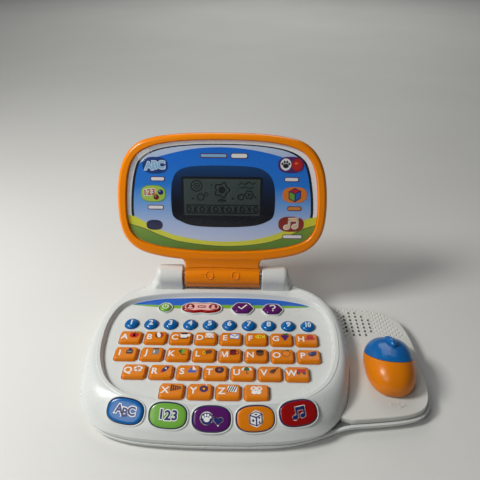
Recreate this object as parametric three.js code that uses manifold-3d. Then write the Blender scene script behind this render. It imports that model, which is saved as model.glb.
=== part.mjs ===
// Toy laptop computer: key deck with a carry handle and a mouse pad wing, a tilting display lid,
// forty-six push keys and a sliding computer mouse. Millimetres, +Z up, +Y towards the carry
// handle (rear), +X towards the wing (right).
// Origin: on the flat underside, on the left-right centre line of the keys.
import * as THREE from "three";
import { mergeVertices } from "three/addons/utils/BufferGeometryUtils.js";
import Module from "manifold-3d";

// ---------------------------------------------------------------- shared dimensions
const SEAM_Z = 6.5; // parting line between upper and lower shell
const RIM_Z = 30.5; // flat rim round the key deck
const RIM_EDGE = 0.9; // inset of the rim at the very top
const SHOULDER_Z = RIM_Z - 0.5; // heights of the outlines in BODY
const WIDEST_Z = 17;
const LOW_Z = 11;
const DECK_Z = 25.5; // floor of the sunk key deck
const DECK_T = 2.2;
const DRAFT = 1.8; // how far the deck's side wall leans in over its depth
const WALL = 2.6; // shell wall
const GAP = 0.35; // clearance between neighbouring pieces

const AXIS_Y = 90.5; // display hinge axis
const AXIS_Z = 40.5;
const BARREL_R = 12;
const PIN_R = 3.0;
const PIN_HOLE_R = PIN_R + 0.3;

const PAD_Z = 12; // top of the mouse pad
const MOUSE = { x: 158.85, y: -11, width: 46.2, length: 66.4, height: 25.7, yaw: -4.1 };
const SPEAKER = { x: 141, y: 47 };

const WHITE = 0xe4e4e2;
const GREY = 0xd2d1ce;
const ORANGE = 0xe88014;
const BLUE = 0x146ebe;
const GREEN = 0x6eb746;
const RED = 0xb41e23;
const PURPLE = 0x582069;

// ---------------------------------------------------------------- outlines
// Right half of the main body from the rear centre to the front centre, [x, y] of:
// deck edge, rim edge, widest line, low line, seam line.
const BODY = [
  [[0, 75], [0, 104], [0, 107], [0, 108], [0, 108]],
  [[26, 74.3], [28, 104], [28, 107], [28, 108], [28, 108]],
  [[50, 72.5], [54, 103], [56, 106], [57, 107], [57, 107]],
  [[66, 70.3], [70, 97], [75, 100], [77, 101], [77, 100]],
  [[76, 68], [79, 85], [86, 90], [88, 91.5], [87.5, 91]],
  [[88, 64], [91.5, 76], [98, 82.5], [100, 84], [99, 83]],
  [[97.5, 58.3], [101.5, 65], [109, 71], [110.5, 72], [109.5, 71]],
  [[104, 50], [108, 53.5], [116.5, 57], [117.5, 57.5], [116.5, 57]],
  [[108.2, 36.5], [112.2, 38], [121.2, 39], [121.8, 39], [120.8, 39]],
  [[109.8, 22], [113.6, 21.5], [122.9, 20], [123.4, 20], [122.3, 20]],
  [[109.4, 8.5], [113.2, 7], [122.6, 4], [123.2, 4], [122.2, 3]],
  [[108.2, -4.5], [112, -6.5], [121.6, -12], [122.2, -12], [121.4, -10]],
  [[105.6, -17], [109.3, -19.3], [118.8, -26], [120.3, -24.5], [119.8, -21]],
  [[101.5, -28.5], [105, -31], [115.8, -39], [118.2, -36.5], [117.8, -32.5]],
  [[95.8, -39.5], [98.9, -41.9], [110.8, -52.5], [114.8, -49], [114.3, -46]],
  [[89.5, -47], [92, -49.7], [103, -63], [108.6, -61.5], [108, -60]],
  [[82, -52.7], [84.2, -55.7], [93.5, -70.3], [100.6, -71], [100.2, -69.8]],
  [[74.3, -57], [76, -60.3], [83, -76], [90.6, -78.6], [90.6, -78]],
  [[61, -61], [62, -64.3], [67, -80.3], [75, -83.9], [75.2, -84]],
  [[44, -63.2], [44.5, -66.6], [48, -82.9], [57, -87], [57.5, -87.3]],
  [[22, -64.4], [22, -67.8], [24, -84.1], [30, -88.5], [30, -89]],
  [[0, -64.7], [0, -68.2], [0, -84.4], [0, -88.8], [0, -89.4]],
];
// How far the left flank, which carries no wing, bulges out low down, per BODY station.
const LEFT_BULGE = [
  0, 0, 0, 0, 0, 0, 0, 0, 0, 0.3, 0.9, 1.7, 2.6, 3.2, 3.2, 2.7, 1.9, 1.1, 0.4, 0, 0, 0,
];
// How round the side profile is per BODY station: 1 rounded shoulder, 0 straight slope.
const ROUNDNESS = [
  0.8, 0.8, 0.8, 0.8, 0.9, 1, 1, 1, 1, 1, 1, 1, 1, 0.9, 0.72, 0.5, 0.3, 0.12, 0.04, 0, 0, 0,
];

// Mouse pad wing: top outline [x, y], clockwise from its rear left to its front left corner.
const PAD = [
  [96, 81.5], [107, 79.3], [119.7, 77.2], [132.3, 74.8], [147.9, 71.9], [163.3, 68.6],
  [175.9, 63.2], [183.7, 55], [188.2, 41.7], [190.0, 27.6], [190.7, 14.2], [190.7, -1.1],
  [190.0, -16.8], [189.1, -29], [187.5, -39.2], [184.8, -46.7], [180.6, -52.9], [174.4, -57.1],
  [165.2, -60.3], [152.2, -62.8], [130.9, -65.2], [116, -66.6],
];
// Lower shell, right side [x, y] from the rear centre to the front centre, proud of the pad.
const LOWER_RIGHT = [
  [0, 108], [28, 108], [57, 107], [77, 100], [88, 91.5], [98, 85.5], [108, 82.2], [120, 79.8],
  [133, 77.3], [149, 74.2], [165, 70.9], [178, 65.4], [186.6, 56.5], [191.2, 43], [193, 28],
  [193.5, 14], [193.4, -1], [192.8, -17], [191.8, -29.5], [190, -40], [187, -48.3],
  [182.3, -54.8], [175.4, -59.6], [165.2, -63.1], [150, -65.8], [131.7, -68], [117, -69.6],
  [107, -72.2], [98, -75.6], [89, -79.2], [79.9, -82.4], [67, -85.9], [52, -88.2],
  [30, -89.3], [0, -89.8],
];
// Carry handle, right half [x, y] from the rear centre to the front centre.
const HANDLE = [
  [0, 149.5], [30, 149], [54, 146.5], [65, 141], [70.5, 133], [74, 123], [78, 110],
  [84, 97], [87, 90], [60, 84], [0, 84],
];
// Display lid and its window, right halves from the top centre down to the bottom centre:
// [x, distance from the hinge axis].
const LID = [
  [0, 151.2], [27.6, 150.9], [47, 149.7], [66.6, 147], [80.8, 142.9], [90.4, 136],
  [97.3, 126.6], [102.2, 114.8], [105, 101], [106.3, 86], [106.4, 71], [105.2, 58.5],
  [102.2, 48], [97, 39.5], [90.2, 33.2], [81, 28.4], [66, 24.3], [47, 21.4], [24, 19.8], [0, 19.2],
];
const WINDOW = [
  [0, 145.2], [29, 144.6], [53, 142.4], [70, 138.5], [81.5, 132.8], [89, 124.5], [93.6, 113],
  [96.4, 96.5], [97.5, 78.5], [97.2, 65], [94, 52], [86, 42.6], [72, 36.8], [51.5, 32.8],
  [24, 30.5], [0, 30],
];
// Circuit board, anticlockwise from its rear left corner.
const BOARD = [
  [-88, 61.5], [-97, 50], [-100, 30], [-98, 0], [-92, -28], [-78, -44], [-52, -58],
  [52, -58], [78, -44], [92, -28], [98, 0], [100, 30], [97, 50], [88, 61.5],
];

// ---------------------------------------------------------------- outline helpers
const rad = THREE.MathUtils.degToRad;
const toVector = ([x, y]) => new THREE.Vector2(x, y);
const moved = (outline, x, y) => outline.map((p) => new THREE.Vector2(p.x + x, p.y + y));

// Full anticlockwise outline from a right half listed rear (or top) centre to front centre.
function mirrored(half) {
  const left = half.map(([x, y]) => [-x, y]);
  return [...left, ...half.slice(1, -1).reverse()].map(toVector);
}

// Anticlockwise outline grown by a distance; corners are limited so they don't spike.
function offset(outline, distance) {
  const count = outline.length;
  return outline.map((p, i) => {
    const before = p.clone().sub(outline[(i + count - 1) % count]).normalize();
    const after = outline[(i + 1) % count].clone().sub(p).normalize();
    const normalAfter = new THREE.Vector2(after.y, -after.x);
    const mitre = new THREE.Vector2(before.y, -before.x).add(normalAfter).normalize();
    const stretch = Math.min(1.6, 1 / Math.max(0.5, mitre.dot(normalAfter)));
    return p.clone().addScaledVector(mitre, distance * stretch);
  });
}

function roundedRectangle(width, depth, radius, segments) {
  const points = [];
  for (const [sideX, sideY, start] of [[1, 1, 0], [-1, 1, 90], [-1, -1, 180], [1, -1, 270]])
    for (let i = 0; i <= segments; i++) {
      const angle = rad(start + (90 * i) / segments);
      points.push(new THREE.Vector2(
        sideX * (width / 2 - radius) + radius * Math.cos(angle),
        sideY * (depth / 2 - radius) + radius * Math.sin(angle),
      ));
    }
  return points;
}

// Exponent 2 gives an ellipse, larger values a squarer outline.
function superellipse(halfX, halfY, exponent, count) {
  const bend = (value) => Math.sign(value) * Math.abs(value) ** (2 / exponent);
  return Array.from({ length: count }, (_, i) => {
    const angle = (2 * Math.PI * i) / count;
    return new THREE.Vector2(halfX * bend(Math.cos(angle)), halfY * bend(Math.sin(angle)));
  });
}

// ---------------------------------------------------------------- solid helpers
const wasm = await Module();
wasm.setup();

function toManifold(geometry) {
  geometry.deleteAttribute("normal");
  geometry.deleteAttribute("uv");
  const merged = mergeVertices(geometry, 1e-4);
  return new wasm.Manifold(new wasm.Mesh({
    numProp: 3,
    vertProperties: merged.attributes.position.array,
    triVerts: new Uint32Array(merged.index.array),
  }));
}

function toGeometry(solid) {
  const mesh = solid.getMesh();
  const geometry = new THREE.BufferGeometry();
  geometry.setAttribute("position", new THREE.BufferAttribute(mesh.vertProperties.slice(), 3));
  geometry.setIndex([...mesh.triVerts]);
  geometry.computeVertexNormals();
  return geometry;
}

// Skin over [outline, z] sections from low to high: equal point counts, anticlockwise from +Z.
function loft(sections) {
  const count = sections[0][0].length;
  const positions = sections.flatMap(([outline, z]) => outline.flatMap((p) => [p.x, p.y, z]));
  const indices = [];
  for (let level = 0; level + 1 < sections.length; level++)
    for (let i = 0; i < count; i++) {
      const low = level * count + i;
      const lowNext = level * count + ((i + 1) % count);
      indices.push(low, lowNext, lowNext + count, low, lowNext + count, low + count);
    }
  const cap = (level, facesUp) => {
    const base = level * count;
    for (const [a, b, c] of THREE.ShapeUtils.triangulateShape(sections[level][0], [])) {
      if (facesUp) indices.push(base + a, base + b, base + c);
      else indices.push(base + a, base + c, base + b);
    }
  };
  cap(0, false);
  cap(sections.length - 1, true);
  const geometry = new THREE.BufferGeometry();
  geometry.setAttribute("position", new THREE.BufferAttribute(new Float32Array(positions), 3));
  geometry.setIndex(indices);
  return geometry;
}

const loftSolid = (sections) => toManifold(loft(sections));

// One outline stacked at [z, growth] levels.
const stack = (outline, levels) =>
  loftSolid(levels.map(([z, growth]) => [offset(outline, growth), z]));

const prism = (outline, growth, low, high) => stack(outline, [[low, growth], [high, growth]]);

function box(x0, x1, y0, y1, z0, z1) {
  const geometry = new THREE.BoxGeometry(x1 - x0, y1 - y0, z1 - z0);
  return toManifold(geometry.translate((x0 + x1) / 2, (y0 + y1) / 2, (z0 + z1) / 2));
}

function rod(radius, length, axis, centre, segments = 24) {
  const geometry = new THREE.CylinderGeometry(radius, radius, length, segments);
  if (axis === "x") geometry.rotateZ(Math.PI / 2);
  else geometry.rotateX(Math.PI / 2);
  return toManifold(geometry.translate(...centre));
}

// [radius, z] profile turned about a vertical axis.
function turned(profile, segments, x, y) {
  const geometry = new THREE.LatheGeometry(profile.map(toVector), segments);
  return toManifold(geometry.rotateX(Math.PI / 2).translate(x, y, 0));
}

// Extruded (y, z) profile laid along +X from a start point.
function laidAlongX(geometry, x, y, z) {
  const axes = new THREE.Matrix4().set(0, 0, 1, x, 1, 0, 0, y, 0, 1, 0, z, 0, 0, 0, 1);
  return toManifold(geometry.applyMatrix4(axes));
}

const addPair = (body, piece) => body.add(piece).add(piece.mirror([1, 0, 0]));

const root = new THREE.Group();
root.name = "toy_laptop_computer";

function addPiece(name, solid, finish, parent = root) {
  const mesh = new THREE.Mesh(toGeometry(solid), new THREE.MeshStandardMaterial(finish));
  mesh.name = name;
  parent.add(mesh);
}

// ---------------------------------------------------------------- main body
const deckEdge = mirrored(BODY.map((station) => station[0]));
const rimEdge = mirrored(BODY.map((station) => station[1]));

// Body outline at a height up to the shoulder; below the seam it runs on in a straight line.
function bodyOutline(z, inset = 0) {
  const between = (from, to, share) => from.map((value, k) => value + (to[k] - value) * share);
  const sideHeight = SHOULDER_Z - WIDEST_Z;
  const outline = mirrored(BODY.map(([, rim, widest, low, seam], i) => {
    if (z >= WIDEST_Z) {
      const drop = (SHOULDER_Z - z) / sideHeight;
      const arc = Math.sqrt(1 - (1 - drop) ** 2);
      return between(rim, widest, drop + ROUNDNESS[i] * (arc - drop));
    }
    if (z >= LOW_Z) return between(widest, low, (WIDEST_Z - z) / (WIDEST_Z - LOW_Z));
    return between(low, seam, (LOW_Z - z) / (LOW_Z - SEAM_Z));
  }));
  // the bulge fades out towards the shoulder; the left half comes first in the outline
  const bulgeShare = 1 - Math.max(0, (z - WIDEST_Z) / sideHeight) ** 1.6;
  const grown = offset(outline, 1);
  LEFT_BULGE.forEach((bulge, i) => outline[i].lerp(grown[i], bulge * bulgeShare));
  return offset(outline, -inset);
}

const bodySections = (levels, inset) => levels.map((z) => [bodyOutline(z, inset), z]);

// Height of the front slope above a point: that of the nearest body outline.
function slopeHeight(x, y) {
  let nearest = Infinity;
  let height = 0;
  for (let z = SHOULDER_Z; z >= WIDEST_Z; z -= 0.25) {
    const outline = bodyOutline(z);
    outline.forEach((start, i) => {
      const end = outline[(i + 1) % outline.length];
      const runX = end.x - start.x;
      const runY = end.y - start.y;
      const along = ((x - start.x) * runX + (y - start.y) * runY) / end.distanceToSquared(start);
      const share = THREE.MathUtils.clamp(along, 0, 1);
      const distance = Math.hypot(start.x + runX * share - x, start.y + runY * share - y);
      if (distance < nearest) {
        nearest = distance;
        height = z;
      }
    });
  }
  return height;
}

// ---------------------------------------------------------------- carry handle
// The upper half is joined to the upper shell, the lower half to the lower shell.
const handleEdge = mirrored(HANDLE);
const gripHole = moved(roundedRectangle(98, 21, 9, 3), 0, 122.5);

// The grip hole widens as the handle narrows, and overshoots it at both ends.
function handleSolid(levels) {
  const last = levels.length - 1;
  const hole = stack(gripHole, levels.map(([z, growth], i) => {
    const overshoot = i === 0 ? -1 : i === last ? 1 : 0;
    return [z + overshoot, -growth * 0.8];
  }));
  return stack(handleEdge, levels).subtract(hole);
}

const handleHollow = (levels) =>
  stack(handleEdge, levels).subtract(prism(gripHole, WALL, 0, 30));

// ---------------------------------------------------------------- upper shell
const POST_IN = 42; // inner and outer end of a hinge post along X
const POST_OUT = 70.5;
const POST_FOOT = -14; // post foot, below the hinge axis
const POST_BEVEL = 2.2;
const FLANK_HALF = 8.5; // half the sloping flank's width along Y

// Right hinge post: a rounded ear beside the lid's barrel, with a flank down to the shoulder.
function hingePost() {
  const ear = new THREE.Shape();
  ear.moveTo(-BARREL_R, POST_FOOT);
  ear.lineTo(BARREL_R, POST_FOOT);
  ear.lineTo(BARREL_R, 0);
  ear.absarc(0, 0, BARREL_R, 0, Math.PI, false);
  ear.lineTo(-BARREL_R, POST_FOOT);
  const earGeometry = new THREE.ExtrudeGeometry(ear, {
    depth: POST_OUT - POST_IN - 2 * POST_BEVEL,
    bevelEnabled: true,
    bevelThickness: POST_BEVEL,
    bevelSize: POST_BEVEL,
    bevelOffset: -POST_BEVEL,
    bevelSegments: 2,
    curveSegments: 9,
  });
  // [distance outside POST_OUT, z]
  const flank = new THREE.Shape([
    [-5, 26], [7, 26], [7, 30], [4, 33.5], [1.5, 39.5], [-1, 46], [-5, 48],
  ].map(([out, z]) => new THREE.Vector2(POST_OUT + out, z)));
  const flankGeometry = new THREE.ExtrudeGeometry(flank, {
    depth: 2 * FLANK_HALF,
    bevelEnabled: false,
  }).rotateX(Math.PI / 2).translate(0, AXIS_Y + FLANK_HALF, 0);
  return laidAlongX(earGeometry, POST_IN + POST_BEVEL, AXIS_Y, AXIS_Z)
    .add(toManifold(flankGeometry));
}

function upperShell(openings) {
  const axis = [0, AXIS_Y, AXIS_Z];
  const outer = loftSolid([
    ...bodySections([SEAM_Z, LOW_Z, WIDEST_Z, 21, 25, 28, SHOULDER_Z], 0),
    [offset(rimEdge, -RIM_EDGE), RIM_Z],
  ]);
  const handle = handleSolid([[SEAM_Z, 0], [12, 0], [15.5, -1.0], [18, -2.8], [19.6, -5.6]]);
  const bowl = stack(deckEdge, [[DECK_Z, -DRAFT], [RIM_Z, 0], [RIM_Z + 1, 0.35]]);
  const trough = rod(BARREL_R + 0.7, 2 * POST_IN - 1.2, "x", axis, 32);

  // the hollow stays clear of the walls of the bowl and the trough
  const hollow = loftSolid(bodySections([SEAM_Z - 2, LOW_Z, WIDEST_Z, 22, 28], WALL))
    .add(handleHollow([[SEAM_Z - 1, -WALL], [12, -WALL], [17, -5]]))
    .subtract(prism(deckEdge, 2.4, DECK_Z - DECK_T, RIM_Z + 3))
    .subtract(rod(BARREL_R + 3.0, 2 * POST_IN + 3.2, "x", axis, 32));
  const postHollow = box(51, POST_OUT - 3, AXIS_Y - 9, AXIS_Y + 9, 26, AXIS_Z - 5);

  let shell = addPair(outer.add(handle), hingePost())
    .subtract(addPair(hollow, postHollow))
    .subtract(bowl)
    .subtract(trough)
    .subtract(rod(PIN_HOLE_R, 2 * 57.4, "x", axis));
  for (const opening of openings) shell = shell.subtract(opening);
  return shell;
}

// ---------------------------------------------------------------- push keys
const KEY_PITCH = 24;
const KEY_W = 21.5;
const KEY_D = 15.8;
const KEY_TOP = 29.0;
const KEY_EDGE = 0.9; // chamfer round a key's top
const KEY_CLEARANCE = 0.4;
const KEY_ROWS = [
  { y: 10.0, count: 8 },
  { y: -10.8, count: 8 },
  { y: -31.6, count: 7 },
  { y: -52.1, count: 4 },
];
const NUMBER_PITCH = 19.33;
const NUMBER_Y = 29.5;
const NUMBER_R = 7.0;
const FUNCTION_Y = 54;
const FLANGE = 1.0; // retaining flange under the deck
const FLANGE_LOW = 21.8;
const FLANGE_TOP = DECK_Z - DECK_T - 0.3;

const shellOpenings = []; // solids to cut from the upper shell
const openDeck = (outline) =>
  shellOpenings.push(prism(outline, 0, DECK_Z - DECK_T - 3, DECK_Z + 2));

// Cap with a flange that catches under the deck.
const capKey = (outline, top) => stack(outline, [
  [FLANGE_LOW, FLANGE], [FLANGE_TOP, FLANGE], [FLANGE_TOP + 0.001, 0],
  [top - KEY_EDGE, 0], [top, -KEY_EDGE],
]);

function addLetterKeys() {
  const outline = roundedRectangle(KEY_W, KEY_D, 3.2, 2);
  const hole = roundedRectangle(KEY_W + 2 * KEY_CLEARANCE, KEY_D + 2 * KEY_CLEARANCE, 2.2, 1);
  let index = 0;
  for (const { y, count } of KEY_ROWS)
    for (let i = 0; i < count; i++) {
      const x = (i - (count - 1) / 2) * KEY_PITCH;
      const letter = "abcdefghijklmnopqrstuvwxyz"[index];
      const name = letter ? `key_letter_${letter}` : "key_picture";
      const key = capKey(moved(outline, x, y), KEY_TOP);
      addPiece(name, key, { color: ORANGE, roughness: 0.35 });
      openDeck(moved(hole, x, y));
      index++;
    }
}

function addNumberKeys() {
  const profile = [
    [0, FLANGE_LOW], [NUMBER_R + FLANGE, FLANGE_LOW], [NUMBER_R + FLANGE, FLANGE_TOP],
    [NUMBER_R, FLANGE_TOP], [NUMBER_R, 26.4],
    [NUMBER_R * 0.88, 27.8], [NUMBER_R * 0.52, 28.9], [0, 29.2],
  ];
  const hole = superellipse(NUMBER_R + 0.6, NUMBER_R + 0.6, 2, 10);
  for (let i = 0; i < 10; i++) {
    const x = (i - 4.5) * NUMBER_PITCH;
    const key = turned(profile, 14, x, NUMBER_Y);
    addPiece(`key_number_${i + 1}`, key, { color: BLUE, roughness: 0.3 });
    openDeck(moved(hole, x, NUMBER_Y));
  }
}

// Long oval pinched at its middle.
function pinchedOval() {
  const count = 28;
  return Array.from({ length: count }, (_, i) => {
    const angle = (2 * Math.PI * i) / count;
    const x = 19.5 * Math.cos(angle);
    const flattening = Math.abs(x) < 8 ? 1 - 0.2 * Math.cos(2 * angle) ** 2 : 1;
    const halfDepth = 8.0 * Math.abs(Math.sin(angle)) ** 0.75 * flattening;
    const waist = 1 - 0.2 * Math.exp(-((x / 5.5) ** 2));
    return new THREE.Vector2(x, Math.sign(Math.sin(angle)) * halfDepth * waist);
  });
}

// Hexagon with a corner at each end of its width; each corner is a three-point curve.
function softHexagon(width, depth) {
  const flat = width * 0.27; // half the front and rear edges
  const corners = [
    [width / 2, 0], [flat, depth / 2], [-flat, depth / 2],
    [-width / 2, 0], [-flat, -depth / 2], [flat, -depth / 2],
  ].map(toVector);
  return corners.flatMap((corner, i) => {
    const start = corner.clone().lerp(corners[(i + 5) % 6], 0.22);
    const end = corner.clone().lerp(corners[(i + 1) % 6], 0.22);
    return [0, 0.5, 1].map((t) => start.clone().multiplyScalar((1 - t) ** 2)
      .addScaledVector(corner, 2 * t * (1 - t))
      .addScaledVector(end, t * t));
  });
}

// Function keys along the rear of the deck.
function addFunctionKeys() {
  const keys = [ // name, outline, x, y, top, colour
    ["power_button", superellipse(6.1, 6.1, 2, 16), -57.4, FUNCTION_Y, 28.3, GREEN],
    ["player_button", pinchedOval(), -19.9, FUNCTION_Y, 28.4, RED],
    ["answer_button", softHexagon(21.8, 15), 22.1, FUNCTION_Y + 0.2, 28.8, PURPLE],
    ["help_button", softHexagon(20.4, 14.2), 52.9, FUNCTION_Y - 0.7, 28.8, PURPLE],
  ];
  for (const [name, shape, x, y, top, color] of keys) {
    const outline = moved(shape, x, y);
    addPiece(name, capKey(outline, top), { color, roughness: 0.3 });
    openDeck(offset(outline, KEY_CLEARANCE));
  }
}

// Mode buttons, square to the front slope.
const SLOPE = rad(38); // tilt of the front slope
const MODE_LENGTH = 31;
const MODE_WIDTH = 20;
const MODES = [ // name, x, y, yaw in degrees, colour
  ["letters_mode_button", -71.6, -70.6, -11, BLUE],
  ["numbers_mode_button", -36.1, -74.3, -4, GREEN],
  ["animals_mode_button", -0.6, -76.3, 0, PURPLE],
  ["games_mode_button", 34.9, -75.2, 4, ORANGE],
  ["music_mode_button", 69.9, -69.9, 11, RED],
];

function addModeButtons() {
  const cap = superellipse(MODE_LENGTH / 2, MODE_WIDTH / 2, 2.6, 20);
  const flange = superellipse(MODE_LENGTH / 2 + 1, 6.5, 4, 20);
  const capHole = offset(cap, 0.45);
  const flangeHole = offset(flange, 0.5);
  for (const [name, x, y, yawDegrees, color] of MODES) {
    const yaw = rad(yawDegrees);
    const along = new THREE.Vector3(Math.cos(yaw), Math.sin(yaw), 0);
    const normal = new THREE.Vector3(
      Math.sin(yaw) * Math.sin(SLOPE), -Math.cos(yaw) * Math.sin(SLOPE), Math.cos(SLOPE),
    );
    const place = new THREE.Matrix4()
      .makeBasis(along, normal.clone().cross(along), normal)
      .setPosition(x, y, slopeHeight(x, y));
    const placed = (sections) => toManifold(loft(sections).applyMatrix4(place));
    const button = placed([
      [flange, -4.2], [flange, -3.2], [cap, -3.0], [cap, 0.9], [offset(cap, -KEY_EDGE), 1.7],
    ]);
    addPiece(name, button, { color, roughness: 0.3 });
    shellOpenings.push(placed([[capHole, -5.2], [capHole, 4]]));
    shellOpenings.push(placed([[flangeHole, -8], [flangeHole, -2.7]]));
  }
}

// ---------------------------------------------------------------- mouse pad wing
const PAD_T = 2.0;
const SLOT_TRAVEL = [-10, 8]; // mouse travel along X, from its place
const SLOT_END = 3.6; // slot length beyond the travel, at each end
const SLOT_HALF = 3.5;
const GRILLE = { x: 128.6, y: 66, pitchX: 6.2, pitchY: 5.35 };
// First and last column of each row of openings, from the rear.
const GRILLE_ROWS = [[1, 2], [0, 3], [0, 4], [0, 4], [0, 4], [0, 4], [1, 3]];

// Pad outline carried on under the body's right edge.
const padEdge = [...[...PAD].reverse(), [90, 70], [90, -58]].map(toVector);

function mousePadDeck() {
  const bodyClearance = loftSolid([[8, 3], [LOW_Z, LOW_Z], [WIDEST_Z, WIDEST_Z], [WIDEST_Z, 20]]
    .map(([outlineZ, z]) => [offset(bodyOutline(outlineZ), GAP), z]));
  let pad = stack(padEdge, [
    [SEAM_Z + 0.5, -0.2], [SEAM_Z + 1.5, 0], [PAD_Z - 1.0, 0], [PAD_Z, -1.0],
  ])
    .subtract(prism(padEdge, -2.4, SEAM_Z - 1, PAD_Z - PAD_T))
    .subtract(bodyClearance)
    .subtract(box(
      MOUSE.x + SLOT_TRAVEL[0] - SLOT_END, MOUSE.x + SLOT_TRAVEL[1] + SLOT_END,
      MOUSE.y - SLOT_HALF, MOUSE.y + SLOT_HALF, 0, 20,
    ));
  const opening = superellipse(1.35, 1.75, 2, 6);
  GRILLE_ROWS.forEach(([first, last], row) => {
    for (let column = first; column <= last; column++) {
      const x = GRILLE.x + column * GRILLE.pitchX;
      const y = GRILLE.y - row * GRILLE.pitchY;
      pad = pad.subtract(prism(moved(opening, x, y), 0, PAD_Z - 4, PAD_Z + 1));
    }
  });
  return pad;
}

// ---------------------------------------------------------------- lower shell
const BAY_HALF = 30; // battery bay half width, front and rear
const BAY_FRONT = 64;
const BAY_REAR = 98.5;
const BAY_WALL = 1.8;
const SUPPORTS = [[-84, 40], [84, 40], [-84, -34], [84, -34], [0, -46], [0, 44]];

const bayBox = (growth, low, high) => box(
  -BAY_HALF - growth, BAY_HALF + growth, BAY_FRONT - growth, BAY_REAR + growth, low, high,
);

// Wall round the wing that meets the pad's skirt.
function wingWall(lowerEdge) {
  return prism(lowerEdge, 0, SEAM_Z - 2, SEAM_Z + 0.2)
    .subtract(prism(lowerEdge, -2.2, SEAM_Z - 3, SEAM_Z + 1))
    .subtract(prism(bodyOutline(SEAM_Z), 1, 0, 20))
    .subtract(box(-200, 70, -200, 200, 0, 20))
    .subtract(prism(padEdge, 0.4, SEAM_Z - GAP, 20));
}

function lowerShell() {
  const lowerEdge = [
    toVector(LOWER_RIGHT[0]),
    ...offset(bodyOutline(SEAM_Z), 0.4).slice(1, BODY.length - 1),
    ...LOWER_RIGHT.slice(1).reverse().map(toVector),
  ];
  const joint = SEAM_Z - GAP;
  const foot = stack(lowerEdge, [[0, -11], [1.6, -10]]); // flat the toy rests on
  const handleTray = handleHollow([[5.2, -3.2], [SEAM_Z + 1, -WALL]])
    .subtract(box(-200, 200, 0, 104, -5, 40));
  let shell = stack(lowerEdge, [[1.0, -3.4], [2.0, -1.2], [4.0, -0.1], [joint, 0]])
    .add(handleSolid([[3.2, -3.2], [4.4, -1.0], [joint, 0]]))
    .add(foot)
    .subtract(stack(lowerEdge, [[2.2, -3.4], [SEAM_Z + 2, -2.6]]))
    .subtract(handleTray)
    .add(wingWall(lowerEdge))
    // battery bay, open downwards, with a recess for its door
    .add(bayBox(BAY_WALL, 1, 18.2))
    .subtract(bayBox(0, -1, 16.6))
    .subtract(bayBox(3, -1, 1.9));
  for (const [x, y] of SUPPORTS) shell = shell.add(rod(3.6, 14, "z", [x, y, 8.6], 12));
  // ring round the speaker on the floor of the wing
  const ring = rod(20.5, 2.4, "z", [SPEAKER.x, SPEAKER.y, 3.0], 28)
    .subtract(rod(18.6, 6, "z", [SPEAKER.x, SPEAKER.y, 5.2], 28));
  return shell.add(ring);
}

// ---------------------------------------------------------------- inside the base
function addInnerParts() {
  const boardEdge = BOARD.map(toVector);
  const speaker = turned([
    [0, 2.9], [12, 2.9], [12, 5.4], [18, 6.6], [18, 8.6], [15.5, 8.6], [13.5, 8.0],
    [6, 6.6], [0, 7.2],
  ], 28, SPEAKER.x, SPEAKER.y);
  const board = prism(boardEdge, 0, 16.1, 17.7);
  addPiece("main_circuit_board", board, { color: 0x2c7a3e, roughness: 0.6 });
  addPiece("key_mat", prism(boardEdge, -2, 18.1, 19.8), { color: 0xb9bdbf, roughness: 0.8 });
  addPiece("speaker", speaker, { color: 0x2a2a2c, roughness: 0.7 });
}

// ---------------------------------------------------------------- display lid
// Built lying flat: x, distance from the axis along y, depth along z (front face up), then
// stood up by the group.
const LID_TILT = 17; // open lid leans back from vertical, degrees
const LID_FACE = 10.5; // frame face, in front of the hinge axis
const LID_BACK = -10.5;
const LID_SEAM = 0.25; // front edge of the rear cover
const BARREL_HALF = 39.5;
const NECK_HALF_DEPTH = 9.3;
const NECK_HOLLOW_HALF = BARREL_HALF - 3;

const lidEdge = mirrored(LID);
const windowEdge = mirrored(WINDOW);

const lidFrame = () =>
  stack(lidEdge, [[0.6, 0], [6.6, 0], [9.0, -0.9], [LID_FACE, -3.0]])
    .subtract(prism(lidEdge, -2.4, -1, 5.6))
    .subtract(prism(windowEdge, -3.5, 0, 20))
    .subtract(stack(windowEdge, [[7.4, 0], [12, 0.4]]));

const screenLens = () => stack(windowEdge, [[7.7, -GAP], [9.2, -GAP], [9.6, -0.9]]);

// Rear cover with the neck and the hinge barrel.
function lidCover() {
  const neckHollow = (top) => box(-NECK_HOLLOW_HALF, NECK_HOLLOW_HALF, 7.5, 40, -6.6, top);
  const panel = stack(lidEdge, [
    [LID_BACK, -6.5], [LID_BACK + 1.6, -2.6], [LID_BACK + 4.2, -0.6], [-3, 0], [LID_SEAM, 0],
  ]).subtract(stack(lidEdge, [[LID_BACK + 2.4, -7.5], [LID_BACK + 5.2, -2.6], [2, -2.4]]));
  const neck = box(-BARREL_HALF, BARREL_HALF, 0, 20.3, -NECK_HALF_DEPTH, NECK_HALF_DEPTH)
    .add(box(-BARREL_HALF, BARREL_HALF, 18, 27, -NECK_HALF_DEPTH, LID_SEAM))
    .add(rod(BARREL_R, 2 * BARREL_HALF, "x", [0, 0, 0], 32))
    .subtract(neckHollow(6.6))
    .subtract(prism(lidEdge, GAP, LID_SEAM, 12));
  return panel.add(neck)
    .subtract(neckHollow(2))
    .subtract(rod(PIN_HOLE_R, 2 * BARREL_HALF + 4, "x", [0, 0, 0]));
}

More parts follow.
